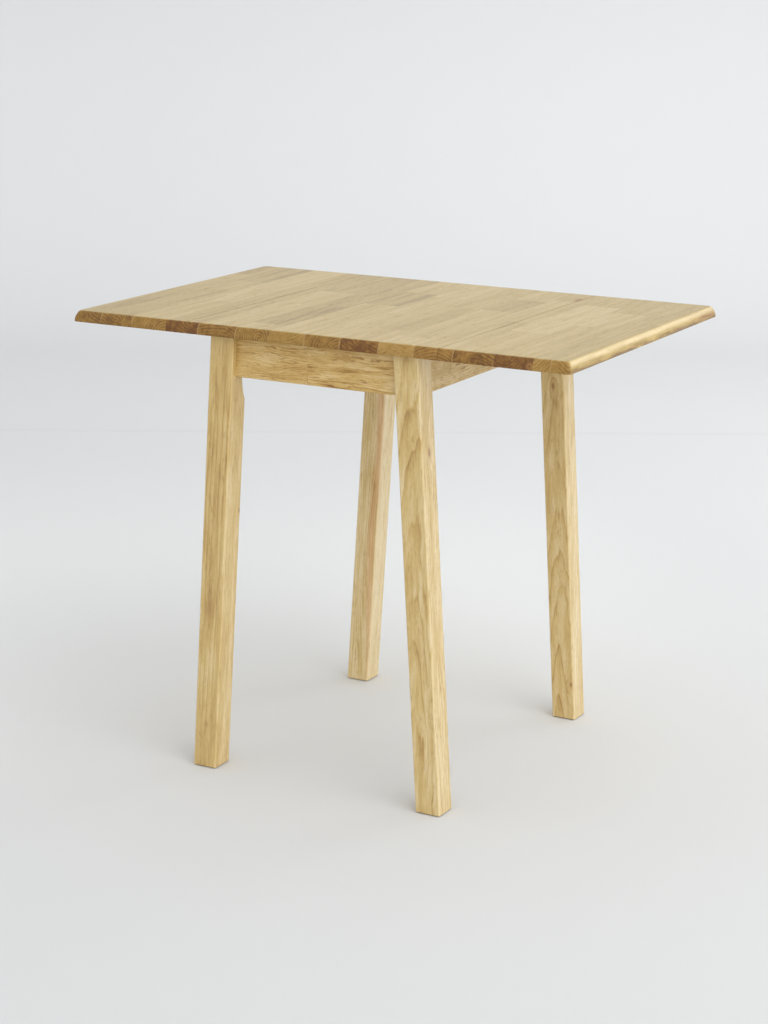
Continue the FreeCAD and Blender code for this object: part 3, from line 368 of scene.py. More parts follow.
TOP_STOPS = (
    (0.0, (0.63, 0.48, 0.205)),
    (0.35, (0.52, 0.375, 0.12)),
    (0.6, (0.43, 0.302, 0.083)),
    (0.8, (0.335, 0.215, 0.055)),
    (1.0, (0.22, 0.125, 0.03)),
)
FRAME_STOPS = (
    (0.0, (0.77, 0.63, 0.36)),
    (0.35, (0.635, 0.458, 0.172)),
    (0.6, (0.52, 0.34, 0.105)),
    (0.8, (0.40, 0.235, 0.07)),
    (1.0, (0.23, 0.12, 0.035)),
)
APRON_STOPS = (
    (0.0, (0.74, 0.57, 0.28)),
    (0.35, (0.63, 0.435, 0.15)),
    (0.6, (0.53, 0.33, 0.09)),
    (0.8, (0.39, 0.215, 0.05)),
    (1.0, (0.22, 0.11, 0.028)),
)


# ---- modelling


class Kind(Enum):
    """What is selected in edit mode."""

    VERTEX = "VERT"
    EDGE = "EDGE"
    FACE = "FACE"


def deselect_all() -> None:
    """Leave nothing selected, CAD nodes included."""
    for item in bpy.context.scene.objects:
        item.select_set(False)


class Workpiece:
    """Mesh that is shaped step by step with Blender's own operators."""

    def __init__(self, name: str, low: Sequence[float], high: Sequence[float]) -> None:
        """Start from a block between two corners, in metres."""
        low, high = Vector(low), Vector(high)
        deselect_all()
        bpy.ops.mesh.primitive_cube_add(size=1.0, location=(low + high) / 2, scale=high - low)
        self.object = bpy.context.object
        self.object.name = self.object.data.name = name
        bpy.ops.object.transform_apply(location=True, rotation=True, scale=True)

    def hold(self) -> None:
        """Make this the one selected and active object."""
        deselect_all()
        self.object.select_set(True)
        bpy.context.view_layer.objects.active = self.object

    @contextmanager
    def editing(self) -> Iterator[None]:
        """Edit mode on this mesh."""
        self.hold()
        bpy.ops.object.mode_set(mode="EDIT")
        try:
            yield
        finally:
            bpy.ops.object.mode_set(mode="OBJECT")

    def select(self, kind: Kind, test: Test) -> None:
        """Select parts of the mesh in edit mode.

        Args:
            kind: vertices, edges or faces.
            test: takes a part's middle and its direction: a normal, or an edge's run.
        """
        bpy.ops.mesh.select_mode(type=kind.value)
        bpy.ops.mesh.select_all(action="DESELECT")
        mesh = bmesh.from_edit_mesh(self.object.data)
        mesh.normal_update()
        if kind is Kind.VERTEX:
            found = [v for v in mesh.verts if test(v.co, v.normal)]
        elif kind is Kind.EDGE:
            ends = [(e, e.verts[0].co, e.verts[1].co) for e in mesh.edges]
            found = [e for e, a, b in ends if test((a + b) / 2, (b - a).normalized())]
        else:
            found = [f for f in mesh.faces if test(f.calc_center_median(), f.normal)]
        for part in found:
            part.select_set(True)
        mesh.select_flush_mode()
        bmesh.update_edit_mesh(self.object.data)

    def shift(self, test: Test, offset: Sequence[float]) -> None:
        """Move the vertices that pass a test."""
        with self.editing():
            self.select(Kind.VERTEX, test)
            bpy.ops.transform.translate(value=offset)

    def round_edges(self, test: Test, radius: float, segments: int) -> None:
        """Round the edges that pass a test."""
        with self.editing():
            self.select(Kind.EDGE, test)
            bpy.ops.mesh.bevel(offset=radius, segments=segments, profile=0.5, affect="EDGES")

    def ease_arrises(self, radius: float, sharper_than: float = 32.0) -> None:
        """Take the edge off every sharp arris."""
        with self.editing():
            bpy.ops.mesh.select_mode(type="EDGE")
            bpy.ops.mesh.select_all(action="DESELECT")
            bpy.ops.mesh.edges_select_sharp(sharpness=math.radians(sharper_than))
            bpy.ops.mesh.bevel(offset=radius, segments=2, profile=0.5, affect="EDGES")

    def slice(self, point: Sequence[float], normal: Sequence[float], test: Test | None = None) -> None:
        """Cut the faces that pass a test along a plane, and keep both sides."""
        with self.editing():
            self.select(Kind.FACE, test or (lambda middle, way: True))
            bpy.ops.mesh.bisect(plane_co=point, plane_no=normal)

    def carve(self, cutters: Sequence["Workpiece"]) -> None:
        """Cut other pieces out of this one, and remove them."""
        for cutter in cutters:
            self.hold()
            modifier = self.object.modifiers.new("carve", "BOOLEAN")
            modifier.operation = "DIFFERENCE"
            modifier.solver = "EXACT"
            modifier.object = cutter.object
            bpy.ops.object.modifier_apply(modifier=modifier.name)
            bpy.data.objects.remove(cutter.object)

    def settle(self) -> bpy.types.Object:
        """Merge doubles, point the faces outwards and give the bevels a clean shading.

        Returns:
            The finished object.
        """
        with self.editing():
            bpy.ops.mesh.select_all(action="SELECT")
            bpy.ops.mesh.remove_doubles(threshold=0.000005)
            bpy.ops.mesh.normals_make_consistent(inside=False)
        bpy.ops.object.shade_smooth_by_angle(angle=math.radians(35))
        modifier = self.object.modifiers.new("weighted", "WEIGHTED_NORMAL")
        modifier.keep_sharp = True
        modifier.weight = 100
        bpy.ops.object.modifier_apply(modifier=modifier.name)
        return self.object


# ---- blocks of wood


@dataclass(frozen=True)
class Log:
    """Where a block of wood lay in its log: the pith line and the block's own directions."""

    pith: Vector
    along: Vector
    across: Vector

    def place(self, point: Vector) -> Place:
        """Place of a point in the log in millimetres: across, along, depth."""
        offset = (point - self.pith) / MM
        depth = self.across.cross(self.along)
        return offset.dot(self.across), offset.dot(self.along), offset.dot(depth)


@dataclass(frozen=True)
class Block:
    """Piece of wood with one look, between two corners across and along."""

    log: Log
    shade: float
    end_shade: float
    redness: float = 0.0
    low: Pair = (-FAR_OFF, -FAR_OFF)
    high: Pair = (FAR_OFF, FAR_OFF)
    knot: Place = (FAR_OFF, FAR_OFF, FAR_OFF)
    knot_radius: float = 4.0
    knot_slimness: float = 0.45
    # painted highlight: how much paler the faces of rounded arrises are made
    painted_arris_highlight: float = 0.0
    # painted side shading: positive values darken upright faces along X as painted shade, negative values
    # pale them as painted sheen
    painted_side_shading: float = 0.0
    heart: float = 0.0
    patches: float = 0.0

    def knot_offset(self, place: Place) -> Place:
        """Offset from the knot in knot radii, shortened along the grain, where knots are long."""
        core = self.log.place(Vector(self.knot))
        across, along, depth = ((a - b) / self.knot_radius for a, b in zip(place, core))
        return across, along * self.knot_slimness, depth


FACE_DATA = ("grain", "tint", "joint_low", "joint_high", "knot")


def dress(piece: bpy.types.Object, choose: Callable[[Vector], Block], finish: bpy.types.Material) -> None:
    """Give a wooden piece its attributes and its material.

    Args:
        piece: finished mesh, in place.
        choose: gives the block that a face belongs to, from the face's middle.
        finish: the wood material.
    """
    mesh = piece.data
    layers = {name: [0.0] * (3 * len(mesh.loops)) for name in FACE_DATA}
    for face in mesh.polygons:
        block = choose(face.center)
        lie = abs(face.normal.dot(block.log.along))
        end = min(1.0, 1.6 * lie) ** 1.5
        turned = sorted(abs(part) for part in face.normal)[1]
        # painted highlight: mask of faces turned between two axes, on rounded arrises and edges
        arris = min(1.0, max(0.0, turned - 0.25) / 0.3) * max(0.0, 1 - 2 * lie)
        # mask for the painted side shading: faces that face along X and stand upright, away from end grain
        side = abs(face.normal.x) * (1 - abs(face.normal.z)) ** 2 * max(0.0, 1 - 2 * lie)
        shade = block.shade + (block.end_shade - block.shade) * end
        # the painted shade or sheen on side faces and the painted highlight on arrises go into the wood's
        # shade
        shade += block.painted_side_shading * side - block.painted_arris_highlight * arris
        patchy = min(1.0, block.patches + max(0.0, 3 * block.painted_side_shading) * side)
        tint = (shade, min(1.0, block.redness * (0.1 + 0.9 * end) + 0.3 * patchy), end)
        for loop in face.loop_indices:
            point = mesh.vertices[mesh.loops[loop].vertex_index].co
            low = ((point.x - block.low[0]) / MM, (point.y - block.low[1]) / MM, block.heart)
            high = ((block.high[0] - point.x) / MM, (block.high[1] - point.y) / MM, patchy)
            place = block.log.place(point)
            values = (place, tint, low, high, block.knot_offset(place))
            for name, value in zip(layers, values):
                layers[name][3 * loop:3 * loop + 3] = value
    for name, values in layers.items():
        layer = mesh.attributes.new(name, "FLOAT_VECTOR", "CORNER")
        layer.data.foreach_set("vector", values)
    mesh.materials.clear()
    mesh.materials.append(finish)


@dataclass(frozen=True)
class Stave:
    """Long strip of the top, glued up from blocks end to end; lengths in millimetres.

    Its blocks run from the near edge, each with the Y at which it ends and its shade.
    """

    left: float
    right: float
    blocks: tuple[Pair, ...]
    near_end: float
    redness: float = 0.2
    pith: Pair | None = None


STAVES = (
    Stave(-440, -386, ((-60, 0.53), (180, 0.50), (290, 0.57)), 0.72),
    Stave(-386, -325, ((-150, 0.50), (110, 0.45), (290, 0.54)), 0.70),
    Stave(-325, -260, ((-90, 0.29), (290, 0.20)), 0.55),
    Stave(-260, -199.6, ((-120, 0.45), (140, 0.42), (290, 0.47)), 0.90, 0.9),
    Stave(-199.6, -130, ((-45, 0.30), (87, 0.23), (290, 0.50)), 0.70, 0.4, (-165, 640)),
    Stave(-130, -69.5, ((-235, 0.30), (-37, 0.62), (161, 0.50), (290, 0.54)), 0.58, 0.1, (-86, 729)),
    Stave(-69.5, -5.4, ((12, 0.30), (150, 0.57), (290, 0.28)), 0.38, 0.0),
    Stave(-5.4, 56.8, ((-60, 0.26), (130, 0.28), (290, 0.23)), 0.62, 0.3),
    Stave(56.8, 123.4, ((-180, 0.33), (50, 0.40), (290, 0.38)), 0.92, 0.9),
    Stave(123.4, 183.8, ((-220, 0.18), (56, 0.29), (175, 0.57), (290, 0.32)), 0.18, 0.0),
    Stave(183.8, 249.1, ((-20, 0.33), (200, 0.32), (290, 0.42)), 0.58, 0.5),
    Stave(249.1, 316.6, ((-97, 0.26), (181, 0.12), (290, 0.38)), 0.80, 0.5),
    Stave(316.6, 379.4, ((-200, 0.35), (-6, 0.32), (137, 0.21), (290, 0.42)), 0.86, 0.9, (330, 752)),
    Stave(379.4, 408, ((-80, 0.42), (150, 0.45), (290, 0.40)), 0.30, 0.0),
    Stave(408, 440, ((60, 0.47), (290, 0.47)), 0.45, 0.1),
)

# by stave and block: the place in metres, the radius in millimetres and the slimness
KNOTS = {
    (6, 0): ((-0.019, -0.131, 0.745), 1.3, 0.45),
    (9, 0): ((0.1595, -0.288, 0.7317), 1.6, 0.45),
    (9, 1): ((0.175, -0.075, 0.745), 1.5, 0.45),
    (10, 0): ((0.1906, -0.200, 0.745), 1.2, 0.3),
    (10, 2): ((0.2195, 0.225, 0.745), 4.4, 0.3),
    (12, 0): ((0.3745, -0.288, 0.733), 2.6, 0.45),
    (14, 1): ((0.4375, 0.235, 0.7345), 1.8, 0.07),
}
NO_KNOT = ((FAR_OFF, FAR_OFF, FAR_OFF), 1.0, 1.0)


@dataclass
class Board:
    """One of the three boards of the top, glued up from staves."""

    node: str
    body: str
    left: float
    right: float
    round_left: bool
    round_right: bool
    width: float = 0.580
    underside: float = 0.727
    thickness: float = 0.018
    inset: float = 0.007
    corner: float = 0.006
    top_round: float = 0.005
    slices: int = 8
    top_slices: int = 4
    arris: float = 0.0005
    seam_line: float = -1.0
    hinge_y: float = 0.190
    seam: float = 0.224
    plate_seat: Pair = (0.0323, 0.0018)
    knuckle_seat: Pair = (0.0035, 0.0035)
    half_seat: float = 0.0303
    overcut: float = 0.002
    # painted highlight on the rounded top edges, and painted shade on the upright faces of the rounded ends
    painted_arris_highlight: float = 0.35
    painted_side_shading: float = 0.36

    def build(self, finish: bpy.types.Material) -> bpy.types.Object:
        """Model and dress the board."""
        piece = self.blank()
        piece.ease_arrises(self.arris)
        piece.carve(self.mortises())
        for stave in STAVES:
            self.part_stave(piece, stave)
        made = piece.settle()
        dress(made, self.block_at, finish)
        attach(made, self.body)
        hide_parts(self.node)
        return made

    def blank(self) -> Workpiece:
        """Board with its rounded edges, built up in thin slices."""
        levels = self.levels()
        half = self.width / 2
        low = (self.left, -half, self.underside)
        piece = Workpiece(self.node + "_board", low, (self.right, half, self.underside + levels[1][0]))
        ends = ((self.left, self.round_left), (self.right, self.round_right))
        corners = [x for x, wanted in ends if wanted]

        def at_corner(middle: Vector, way: Vector) -> bool:
            """Whether an edge stands at a corner of the table."""
            return abs(way.z) > 0.9 and any(abs(middle.x - x) < 1e-5 for x in corners)

        piece.round_edges(at_corner, self.corner, 6)
        with piece.editing():
            piece.select(Kind.FACE, lambda middle, way: way.z > 0.9)
            self.draw_in(levels[0], levels[1])
            for before, after in zip(levels[1:], levels[2:]):
                rise = (0.0, 0.0, after[0] - before[0])
                bpy.ops.mesh.extrude_region_move(TRANSFORM_OT_translate={"value": rise})
                self.draw_in(before, after)
        return piece

    def levels(self) -> list[Pair]:
        """Heights above the underside, each with how far the edge has drawn in there."""
        wide = (self.inset ** 2 + self.thickness ** 2) / (2 * self.inset)
        sweep = math.asin((self.thickness - self.top_round) / (wide - self.top_round))
        turns = [sweep * k / self.slices for k in range(self.slices + 1)]
        found = [(wide * math.sin(turn), wide * (1 - math.cos(turn))) for turn in turns]
        height, drawn = found[-1]
        for k in range(1, self.top_slices + 1):
            turn = sweep + (math.pi / 2 - sweep) * k / self.top_slices
            rise = self.top_round * (math.sin(turn) - math.sin(sweep))
            found.append((height + rise, drawn + self.top_round * (math.cos(sweep) - math.cos(turn))))
        return found

    def draw_in(self, before: Pair, after: Pair) -> None:
        """Scale the selected face from one level's outline to the next one's."""
        half = self.width / 2
        along_y = (half - after[1]) / (half - before[1])
        span = self.right - self.left
        rounded = self.round_left + self.round_right
        along_x = (span - rounded * after[1]) / (span - rounded * before[1])
        middle = (self.left + self.right) / 2
        still = {(True, False): self.right, (False, True): self.left}
        x = still.get((self.round_left, self.round_right), middle)
        anchor = (x, 0.0, self.underside + after[0])
        bpy.ops.transform.resize(value=(along_x, along_y, 1.0), center_override=anchor)

    def mortises(self) -> list[Workpiece]:
        """Cutters for the recesses of the hinge plates and knuckles at this board's seams."""
        cutters = []
        for side in (-1, 1):
            seam = side * self.seam
            if not self.left - 0.001 < seam < self.right + 0.001:
                continue
            way = 1.0 if (self.left + self.right) / 2 > seam else -1.0
            for end in (-1, 1):
                middle = end * self.hinge_y
                for reach, depth in (self.plate_seat, self.knuckle_seat):
                    xs = sorted((seam - way * self.overcut, seam + way * reach))
                    low = (xs[0], middle - self.half_seat, self.underside - self.overcut)
                    high = (xs[1], middle + self.half_seat, self.underside + depth)
                    cutters.append(Workpiece("mortise", low, high))
        return cutters

    def part_stave(self, piece: Workpiece, stave: Stave) -> None:
        """Cut a stave's sides and its butt joints into the mesh."""
        low, high = max(stave.left * MM, self.left), min(stave.right * MM, self.right)
        if high - low < 0.0005:
            return
        if low > self.left + 0.0005:
            piece.slice((low, 0.0, 0.0), (1.0, 0.0, 0.0))
        if high < self.right - 0.0005:
            piece.slice((high, 0.0, 0.0), (1.0, 0.0, 0.0))
        for end, _ in stave.blocks[:-1]:
            piece.slice((0.0, end * MM, 0.0), (0.0, 1.0, 0.0), lambda middle, way: low < middle.x < high)

    def block_at(self, point: Vector) -> Block:
        """Block of the glued-up top that a face belongs to."""
        x, y = point.x / MM, point.y / MM
        index = next((i for i, s in enumerate(STAVES) if s.left <= x <= s.right), len(STAVES) - 1)
        stave = STAVES[index]
        start = -290.0
        for number, (end, shade) in enumerate(stave.blocks):
            if y <= end or number == len(stave.blocks) - 1:
                break
            start = end
        chance = random.Random(index * 31 + number)
        middle = (stave.left + stave.right) / 2
        pith = (middle + chance.uniform(-45, 45), 736 + chance.choice((-1, 1)) * chance.uniform(18, 70))
        if stave.pith and number == 0:
            pith = stave.pith
        along = Vector((chance.uniform(-0.02, 0.02), 1.0, chance.uniform(-0.03, 0.03))).normalized()
        across = along.cross(Vector((0.0, 0.0, 1.0))).normalized()
        origin = Vector((pith[0] * MM, chance.uniform(-6, 6), pith[1] * MM))
        near, last = number == 0, number == len(stave.blocks) - 1
        log = Log(origin, Vector((0, 1, 0)), Vector((1, 0, 0))) if near else Log(origin, along, across)
        line = self.seam_line if point.z > self.underside + self.thickness - 0.0005 else -1.0
        return Block(
            log,
            shade,
            stave.near_end if near else chance.uniform(0.3, 0.75),
            stave.redness if near else chance.uniform(0.0, 0.4),
            (max(stave.left * MM, self.left + line), -FAR_OFF if near else start * MM),
            (min(stave.right * MM, self.right - line), FAR_OFF if last else end * MM),
            *KNOTS.get((index, number), NO_KNOT),
            # the board's painted arris highlight and painted side shading go with each block
            self.painted_arris_highlight,
            self.painted_side_shading,
        )


@dataclass
class Leg:
    """Square splayed leg with rounded arrises and a cut inner corner."""

    end: str
    side: str
    shade: float
    pith: Pair
    tilt: Pair = (0.0, 0.0)
    knots: tuple[tuple[float, float, float, float], ...] = ((FAR_OFF / MM, 0.0, 0.0, 1.0),)
    heart: float = 0.0
    section: float = 0.043
    arris: float = 0.003
    foot_z: float = 0.0015
    underside: float = 0.727
    foot_spread: float = 0.209
    top_spread: float = 0.163
    leg_y: float = 0.2545
    corner_cut: float = 0.012
    cutter_radius: float = 0.120
    apron_bottom: float = 0.661

    @property
    def x_way(self) -> int:
        """1 on the right, -1 on the left."""
        return 1 if self.side == "right" else -1

    @property
    def y_way(self) -> int:
        """1 at the far end, -1 at the near end."""
        return 1 if self.end == "far" else -1

    def centre(self, height: float) -> Vector:
        """Point of the leg's centre line at a height."""
        spread = self.foot_spread + (self.top_spread - self.foot_spread) * height / self.underside
        return Vector((self.x_way * spread, self.y_way * self.leg_y, height))

    def build(self, finish: bpy.types.Material) -> bpy.types.Object:
        """Model and dress the leg."""
        foot, top = self.centre(self.foot_z), self.centre(self.underside)
        lean = top - foot
        half_x, half_y = self.section / 2 * lean.length / lean.z, self.section / 2
        name = f"{self.end}_{self.side}_leg"
        low = (foot.x - half_x, foot.y - half_y, foot.z)
        piece = Workpiece(name + "_stick", low, (foot.x + half_x, foot.y + half_y, top.z))
        piece.shift(lambda middle, way: middle.z > 0.5, (lean.x, 0.0, 0.0))
        piece.round_edges(lambda middle, way: abs(way.z) > 0.9, self.arris, 5)
        piece.carve([self.corner_cutter()])
        piece.ease_arrises(0.0006, 40.0)
        heights = sorted(knot[2] * MM for knot in self.knots)
        for low, high in zip(heights, heights[1:]):
            piece.slice((0.0, 0.0, (low + high) / 2), (0.0, 0.0, 1.0))
        made = piece.settle()
        along = (lean.normalized() + Vector((*self.tilt, 0.0))).normalized()
        across = (Vector((1.0, 0.0, 0.0)) - along * along.x).normalized()
        log = Log((foot + top) / 2 + Vector((*self.pith, 0.0)) * MM, along, across)

        def block(point: Vector) -> Block:
            """The leg's one block, with the knot that is nearest to a face."""
            *place, radius = min(self.knots, key=lambda knot: abs(knot[2] * MM - point.z))
            knot = tuple(part * MM for part in place)
            # painted highlight on the arrises, and painted sheen on the side faces through a negative side
            # shading
            return Block(
                log, self.shade, self.shade + 0.2, knot=knot, knot_radius=radius,
                painted_arris_highlight=0.12, painted_side_shading=-0.13, heart=self.heart, patches=0.22,
            )

        dress(made, block, finish)
        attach(made, "frame")
        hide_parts(name)
        return made

    def corner_cutter(self) -> Workpiece:
        """Cutter for the flat on the inner corner, which runs out in a curve below the apron."""
        reach = (self.section - self.corner_cut) / math.sqrt(2)
        level = self.centre(self.apron_bottom)
        back = reach + self.section
        cutter = Workpiece("cutter", (reach, -self.section, 0.0), (back, self.section, 0.12))
        run_out = math.acos(1 - self.section / 2 / self.cutter_radius)
        with cutter.editing():
            cutter.select(Kind.FACE, lambda middle, way: way.z < -0.9)
            steps = 12
            for k in range(steps):
                turn = [run_out * (k + part) / steps for part in (0, 1)]
                drop = self.cutter_radius * (math.sin(turn[1]) - math.sin(turn[0]))
                spans = [self.section - self.cutter_radius * (1 - math.cos(t)) for t in turn]
                bpy.ops.mesh.extrude_region_move(TRANSFORM_OT_translate={"value": (0.0, 0.0, -drop)})
                anchor = (back, 0.0, -self.cutter_radius * math.sin(turn[1]))
                bpy.ops.transform.resize(value=(spans[1] / spans[0], 1.0, 1.0), center_override=anchor)
        heading = math.atan2(-self.y_way, -self.x_way)
        top = self.centre(self.underside)
        slope = (top.x - level.x) / (top.z - level.z)
        turned = Matrix.Rotation(heading, 4, "Z")
        lean = Matrix(((1, 0, slope, level.x), (0, 1, 0, level.y), (0, 0, 1, level.z), (0, 0, 0, 1)))
        cutter.object.data.transform(lean @ turned)
        return cutter


@dataclass
class Apron:
    """Board between two legs, with eased lower edges."""

    name: str
    shade: float
    pith: Pair
    corners: tuple[Pair, ...]
    span: Pair
    lies_along_x: bool
    bores: tuple[Place, ...] = ()
    tilt: float = 0.0
    joint: float = -FAR_OFF
    patches: float = 0.35
    ease: float = 0.0015
    bore_radius: float = 0.0052
    bore_depth: float = 0.038

    def build(self, finish: bpy.types.Material) -> bpy.types.Object:
        """Model and dress the apron.

        Its four long edges lie at the corners: low left, low right, high right, high left.
        """
        xs, zs = zip(*self.corners)
        low, high = (min(xs), self.span[0], min(zs)), (max(xs), self.span[1], max(zs))
        piece = Workpiece(self.name + "_rail", low, high)
        middle_x, middle_z = (low[0] + high[0]) / 2, (low[2] + high[2]) / 2
        for index, (x, z) in enumerate(self.corners):
            start = (high[0] if index in (1, 2) else low[0], high[2] if index in (2, 3) else low[2])
            piece.shift(self.at_corner(start), (x - start[0], 0.0, z - start[1]))
        axis = 0 if self.lies_along_x else 1
        piece.round_edges(lambda middle, way: abs(way[axis]) > 0.9 and middle.z < middle_z, self.ease, 4)
        piece.carve([self.bore(place) for place in self.bores])
        piece.ease_arrises(0.0004, 60.0)
        if self.joint > -FAR_OFF:
            piece.slice((self.joint, 0.0, 0.0), (1.0, 0.0, 0.0))
        made = piece.settle()
        pith_z = middle_z + self.pith[1] * MM
        if self.lies_along_x:
            along, origin = Vector((1.0, 0.0, 0.0)), Vector((0.4, self.span[0] + self.pith[0] * MM, pith_z))
        else:
            along, origin = Vector((0.0, 1.0, 0.0)), Vector((middle_x + self.pith[0] * MM, 0.7, pith_z))
        log, other_log = (
            Log(origin + Vector(offset), along, Vector((0.0, 0.0, 1.0)))
            for offset in ((0.0, 0.0, 0.0), (2.0, 0.03, -0.11))
        )
        look = (self.shade, self.shade + 0.2)
        right = Block(log, *look, low=(self.joint, -FAR_OFF), patches=self.patches)
        left = Block(other_log, *look, high=(self.joint, FAR_OFF), redness=0.5, patches=0.3)
        dress(made, lambda point: right if point.x > self.joint else left, finish)
        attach(made, "frame")
        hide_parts(self.name)
        return made

    @staticmethod
    def at_corner(start: Pair) -> Test:
        """Test for the vertices of one long edge of the block."""
        return lambda middle, way: abs(middle.x - start[0]) < 1e-6 and abs(middle.z - start[1]) < 1e-6

    def bore(self, place: Place) -> Workpiece:
        """Cutter for the counterbore of a screw that goes up through the board."""
        radius = self.bore_radius
        cutter = Workpiece("bore", (-radius, -radius, -0.004), (radius, radius, self.bore_depth))
        cutter.round_edges(lambda middle, way: abs(way.z) > 0.9, radius * 0.98, 8)
        lean = Matrix.Translation(Vector(place)) @ Matrix.Rotation(self.tilt, 4, "Y")
        cutter.object.data.transform(lean)
        return cutter


# ---- studio


@dataclass(frozen=True)
class Studio:
    """Pale floor with a wall, painted light and shade on the floor, soft lamps and the camera."""

    camera_at: Place = (1.7338, -3.1681, 1.3479)
    yaw: float = 29.033
    pitch: float = -14.695
    roll: float = 0.3165
    sensor: float = 36.0
    focal_px: float = 2236.4
    height_px: float = 1024
    floor_size: Pair = (60.0, 40.0)
    wall_distance: float = 4.8
    crease_distance: float = 2.394
    cove: float = 1.2
    # painted light: colour of the brighter patch of floor round the table; outer_colour is the rest of the
    # floor
    painted_pool_colour: Colour = (0.86, 0.87, 0.865)
    outer_colour: Colour = (0.775, 0.785, 0.785)
    wall_colour: Colour = (0.72, 0.725, 0.735)
    # painted shade: factor by which the floor is made darker towards the left
    painted_falloff: float = 0.90
    sky: float = 0.76
    window: float = 1.75
    window_direction: Place = (0.823, -0.396, 0.407)

    def build(self) -> None:
        """Set up camera, floor, wall and lamps."""
        self.add_camera()
        self.add_floor()
        self.add_lamps()

    def add_camera(self) -> None:
        """Camera at the place and turn from which the table is seen."""
        yaw, pitch, roll = (math.radians(angle) for angle in (self.yaw, self.pitch, self.roll))
        level = math.cos(pitch)
        ahead = Vector((-math.sin(yaw) * level, math.cos(yaw) * level, math.sin(pitch)))
        right = ahead.cross(Vector((0.0, 0.0, 1.0))).normalized()
        up = right.cross(ahead)
        side = right * math.cos(roll) + up * math.sin(roll)
        top = up * math.cos(roll) - right * math.sin(roll)
        camera = bpy.data.cameras.new("camera")
        camera.sensor_width = self.sensor
        camera.lens = self.focal_px / self.height_px * self.sensor
        camera.clip_end = 60.0
        holder = bpy.data.objects.new("camera", camera)
        rows = zip(side, top, -ahead, self.camera_at)
        holder.matrix_world = Matrix((*rows, (0.0, 0.0, 0.0, 1.0)))
        bpy.context.scene.collection.objects.link(holder)
        bpy.context.scene.camera = holder

    def add_floor(self) -> None:
        """Floor that turns up in a wide curve into a wall, with painted light and shade on it: a brighter
        patch round the table, darkening towards the left and a faint dark line across it.
        """
        yaw = math.radians(self.yaw)
        back = Vector((-math.sin(yaw), math.cos(yaw), 0.0))
        deselect_all()
        bpy.ops.mesh.primitive_plane_add(size=1.0, location=(0.0, 0.0, 0.0))
        floor = bpy.context.object
        floor.name = "studio_floor"
        middle = self.wall_distance - self.cove - self.floor_size[1] / 2
        set_back = Matrix.Translation((0.0, middle, 0.0)) @ Matrix.Diagonal((*self.floor_size, 1.0, 1.0))
        floor.data.transform(Matrix.Rotation(yaw, 4, "Z") @ set_back)
        bpy.ops.object.mode_set(mode="EDIT")
        mesh = bmesh.from_edit_mesh(floor.data)
        bpy.ops.mesh.select_mode(type="EDGE")
        bpy.ops.mesh.select_all(action="DESELECT")
        rear = max(mesh.edges, key=lambda edge: sum(corner.co.dot(back) for corner in edge.verts))
        rear.select_set(True)
        bmesh.update_edit_mesh(floor.data)
        turns = [math.pi / 2 * k / 16 for k in range(17)]
        for before, after in zip(turns, turns[1:]):
            ahead = self.cove * (math.sin(after) - math.sin(before))
            rise = self.cove * (math.cos(before) - math.cos(after))
            move = back * ahead + Vector((0.0, 0.0, rise))
            bpy.ops.mesh.extrude_region_move(TRANSFORM_OT_translate={"value": move})
        bpy.ops.mesh.extrude_region_move(TRANSFORM_OT_translate={"value": (0.0, 0.0, 8.0)})
        bpy.ops.object.mode_set(mode="OBJECT")
        bpy.ops.object.shade_smooth()
        g = Graph("studio_floor")
        place = g.node("ShaderNodeTexCoord").outputs["Object"]
        x, y, _ = g.split(place)
        depth = x * back.x + y * back.y
        across = x * back.y - y * back.x
        mottle = g.noise(place, (0.8,) * 3, 3.0)
        reach = g.maths("SQRT", x * x + y * y)
        # painted light: a brighter patch painted on the floor round and behind the table
        painted_pool_mask = depth.step(-0.5, 0.7) * depth.step(2.3, 0.9) * across.step(0.8, 0.1)
        painted_light_pool = g.mix(painted_pool_mask, self.outer_colour, self.painted_pool_colour)
        near = g.mix(mottle, painted_light_pool, (0.985,) * 3, "MULTIPLY")
        walled = g.mix(depth.step(self.crease_distance, self.wall_distance), near, self.wall_colour)
        # painted shade: the floor made darker towards the left of the view, fading out far from the table
        painted_falloff_mask = across.step(1.6, -1.6) * reach.step(12.0, 5.0)
        far = g.mix(painted_falloff_mask, walled, (self.painted_falloff,) * 3, "MULTIPLY")
        # painted shade: a faint dark line across the floor at crease_distance, where the wall colour starts
        start, end = self.crease_distance - 0.03, self.crease_distance + 0.03
        painted_crease_shade = depth.step(start, self.crease_distance) * depth.step(end, self.crease_distance)
        colour = g.mix(painted_crease_shade * 0.05, far, (0.3,) * 3)
        sockets = {"Base Color": colour, "Roughness": 0.75, "Specular IOR Level": 0.2}
        floor.data.materials.append(g.surface(sockets))

    def add_lamps(self) -> None:
        """Soft light from all round that is brighter from the window side, and two soft lamps."""
        g = Graph("studio_light", world=True)
        facing = g.node("ShaderNodeTexCoord").outputs["Generated"]
        x, y, z = g.split(g.scaled(facing, self.window_direction))
        rays = g.node("ShaderNodeLightPath").outputs
        seen = Signal(g, rays["Is Camera Ray"]).most(Signal(g, rays["Is Glossy Ray"]) * 0.8)
        glow = (x + y + z).step(0.72, 0.97) * (1 - seen)
        plain = tuple(self.sky * part for part in (0.985, 0.99, 1.0))
        bright = tuple(part + self.window for part in plain)
        shader = g.node("ShaderNodeBackground", {}, {"Color": g.mix(glow, plain, bright)})
        bpy.context.scene.world = g.finish(shader.outputs[0])
        self.add_area("side_lamp", (1.7, 3.0, 1.75), (0.4, 0.0, 0.6), (1.6, 0.9), 12.0)
        self.add_area("ceiling_lamp", (1.3, -0.4, 2.9), (0.3, -0.1, 0.0), (2.2, 2.2), 8.0)

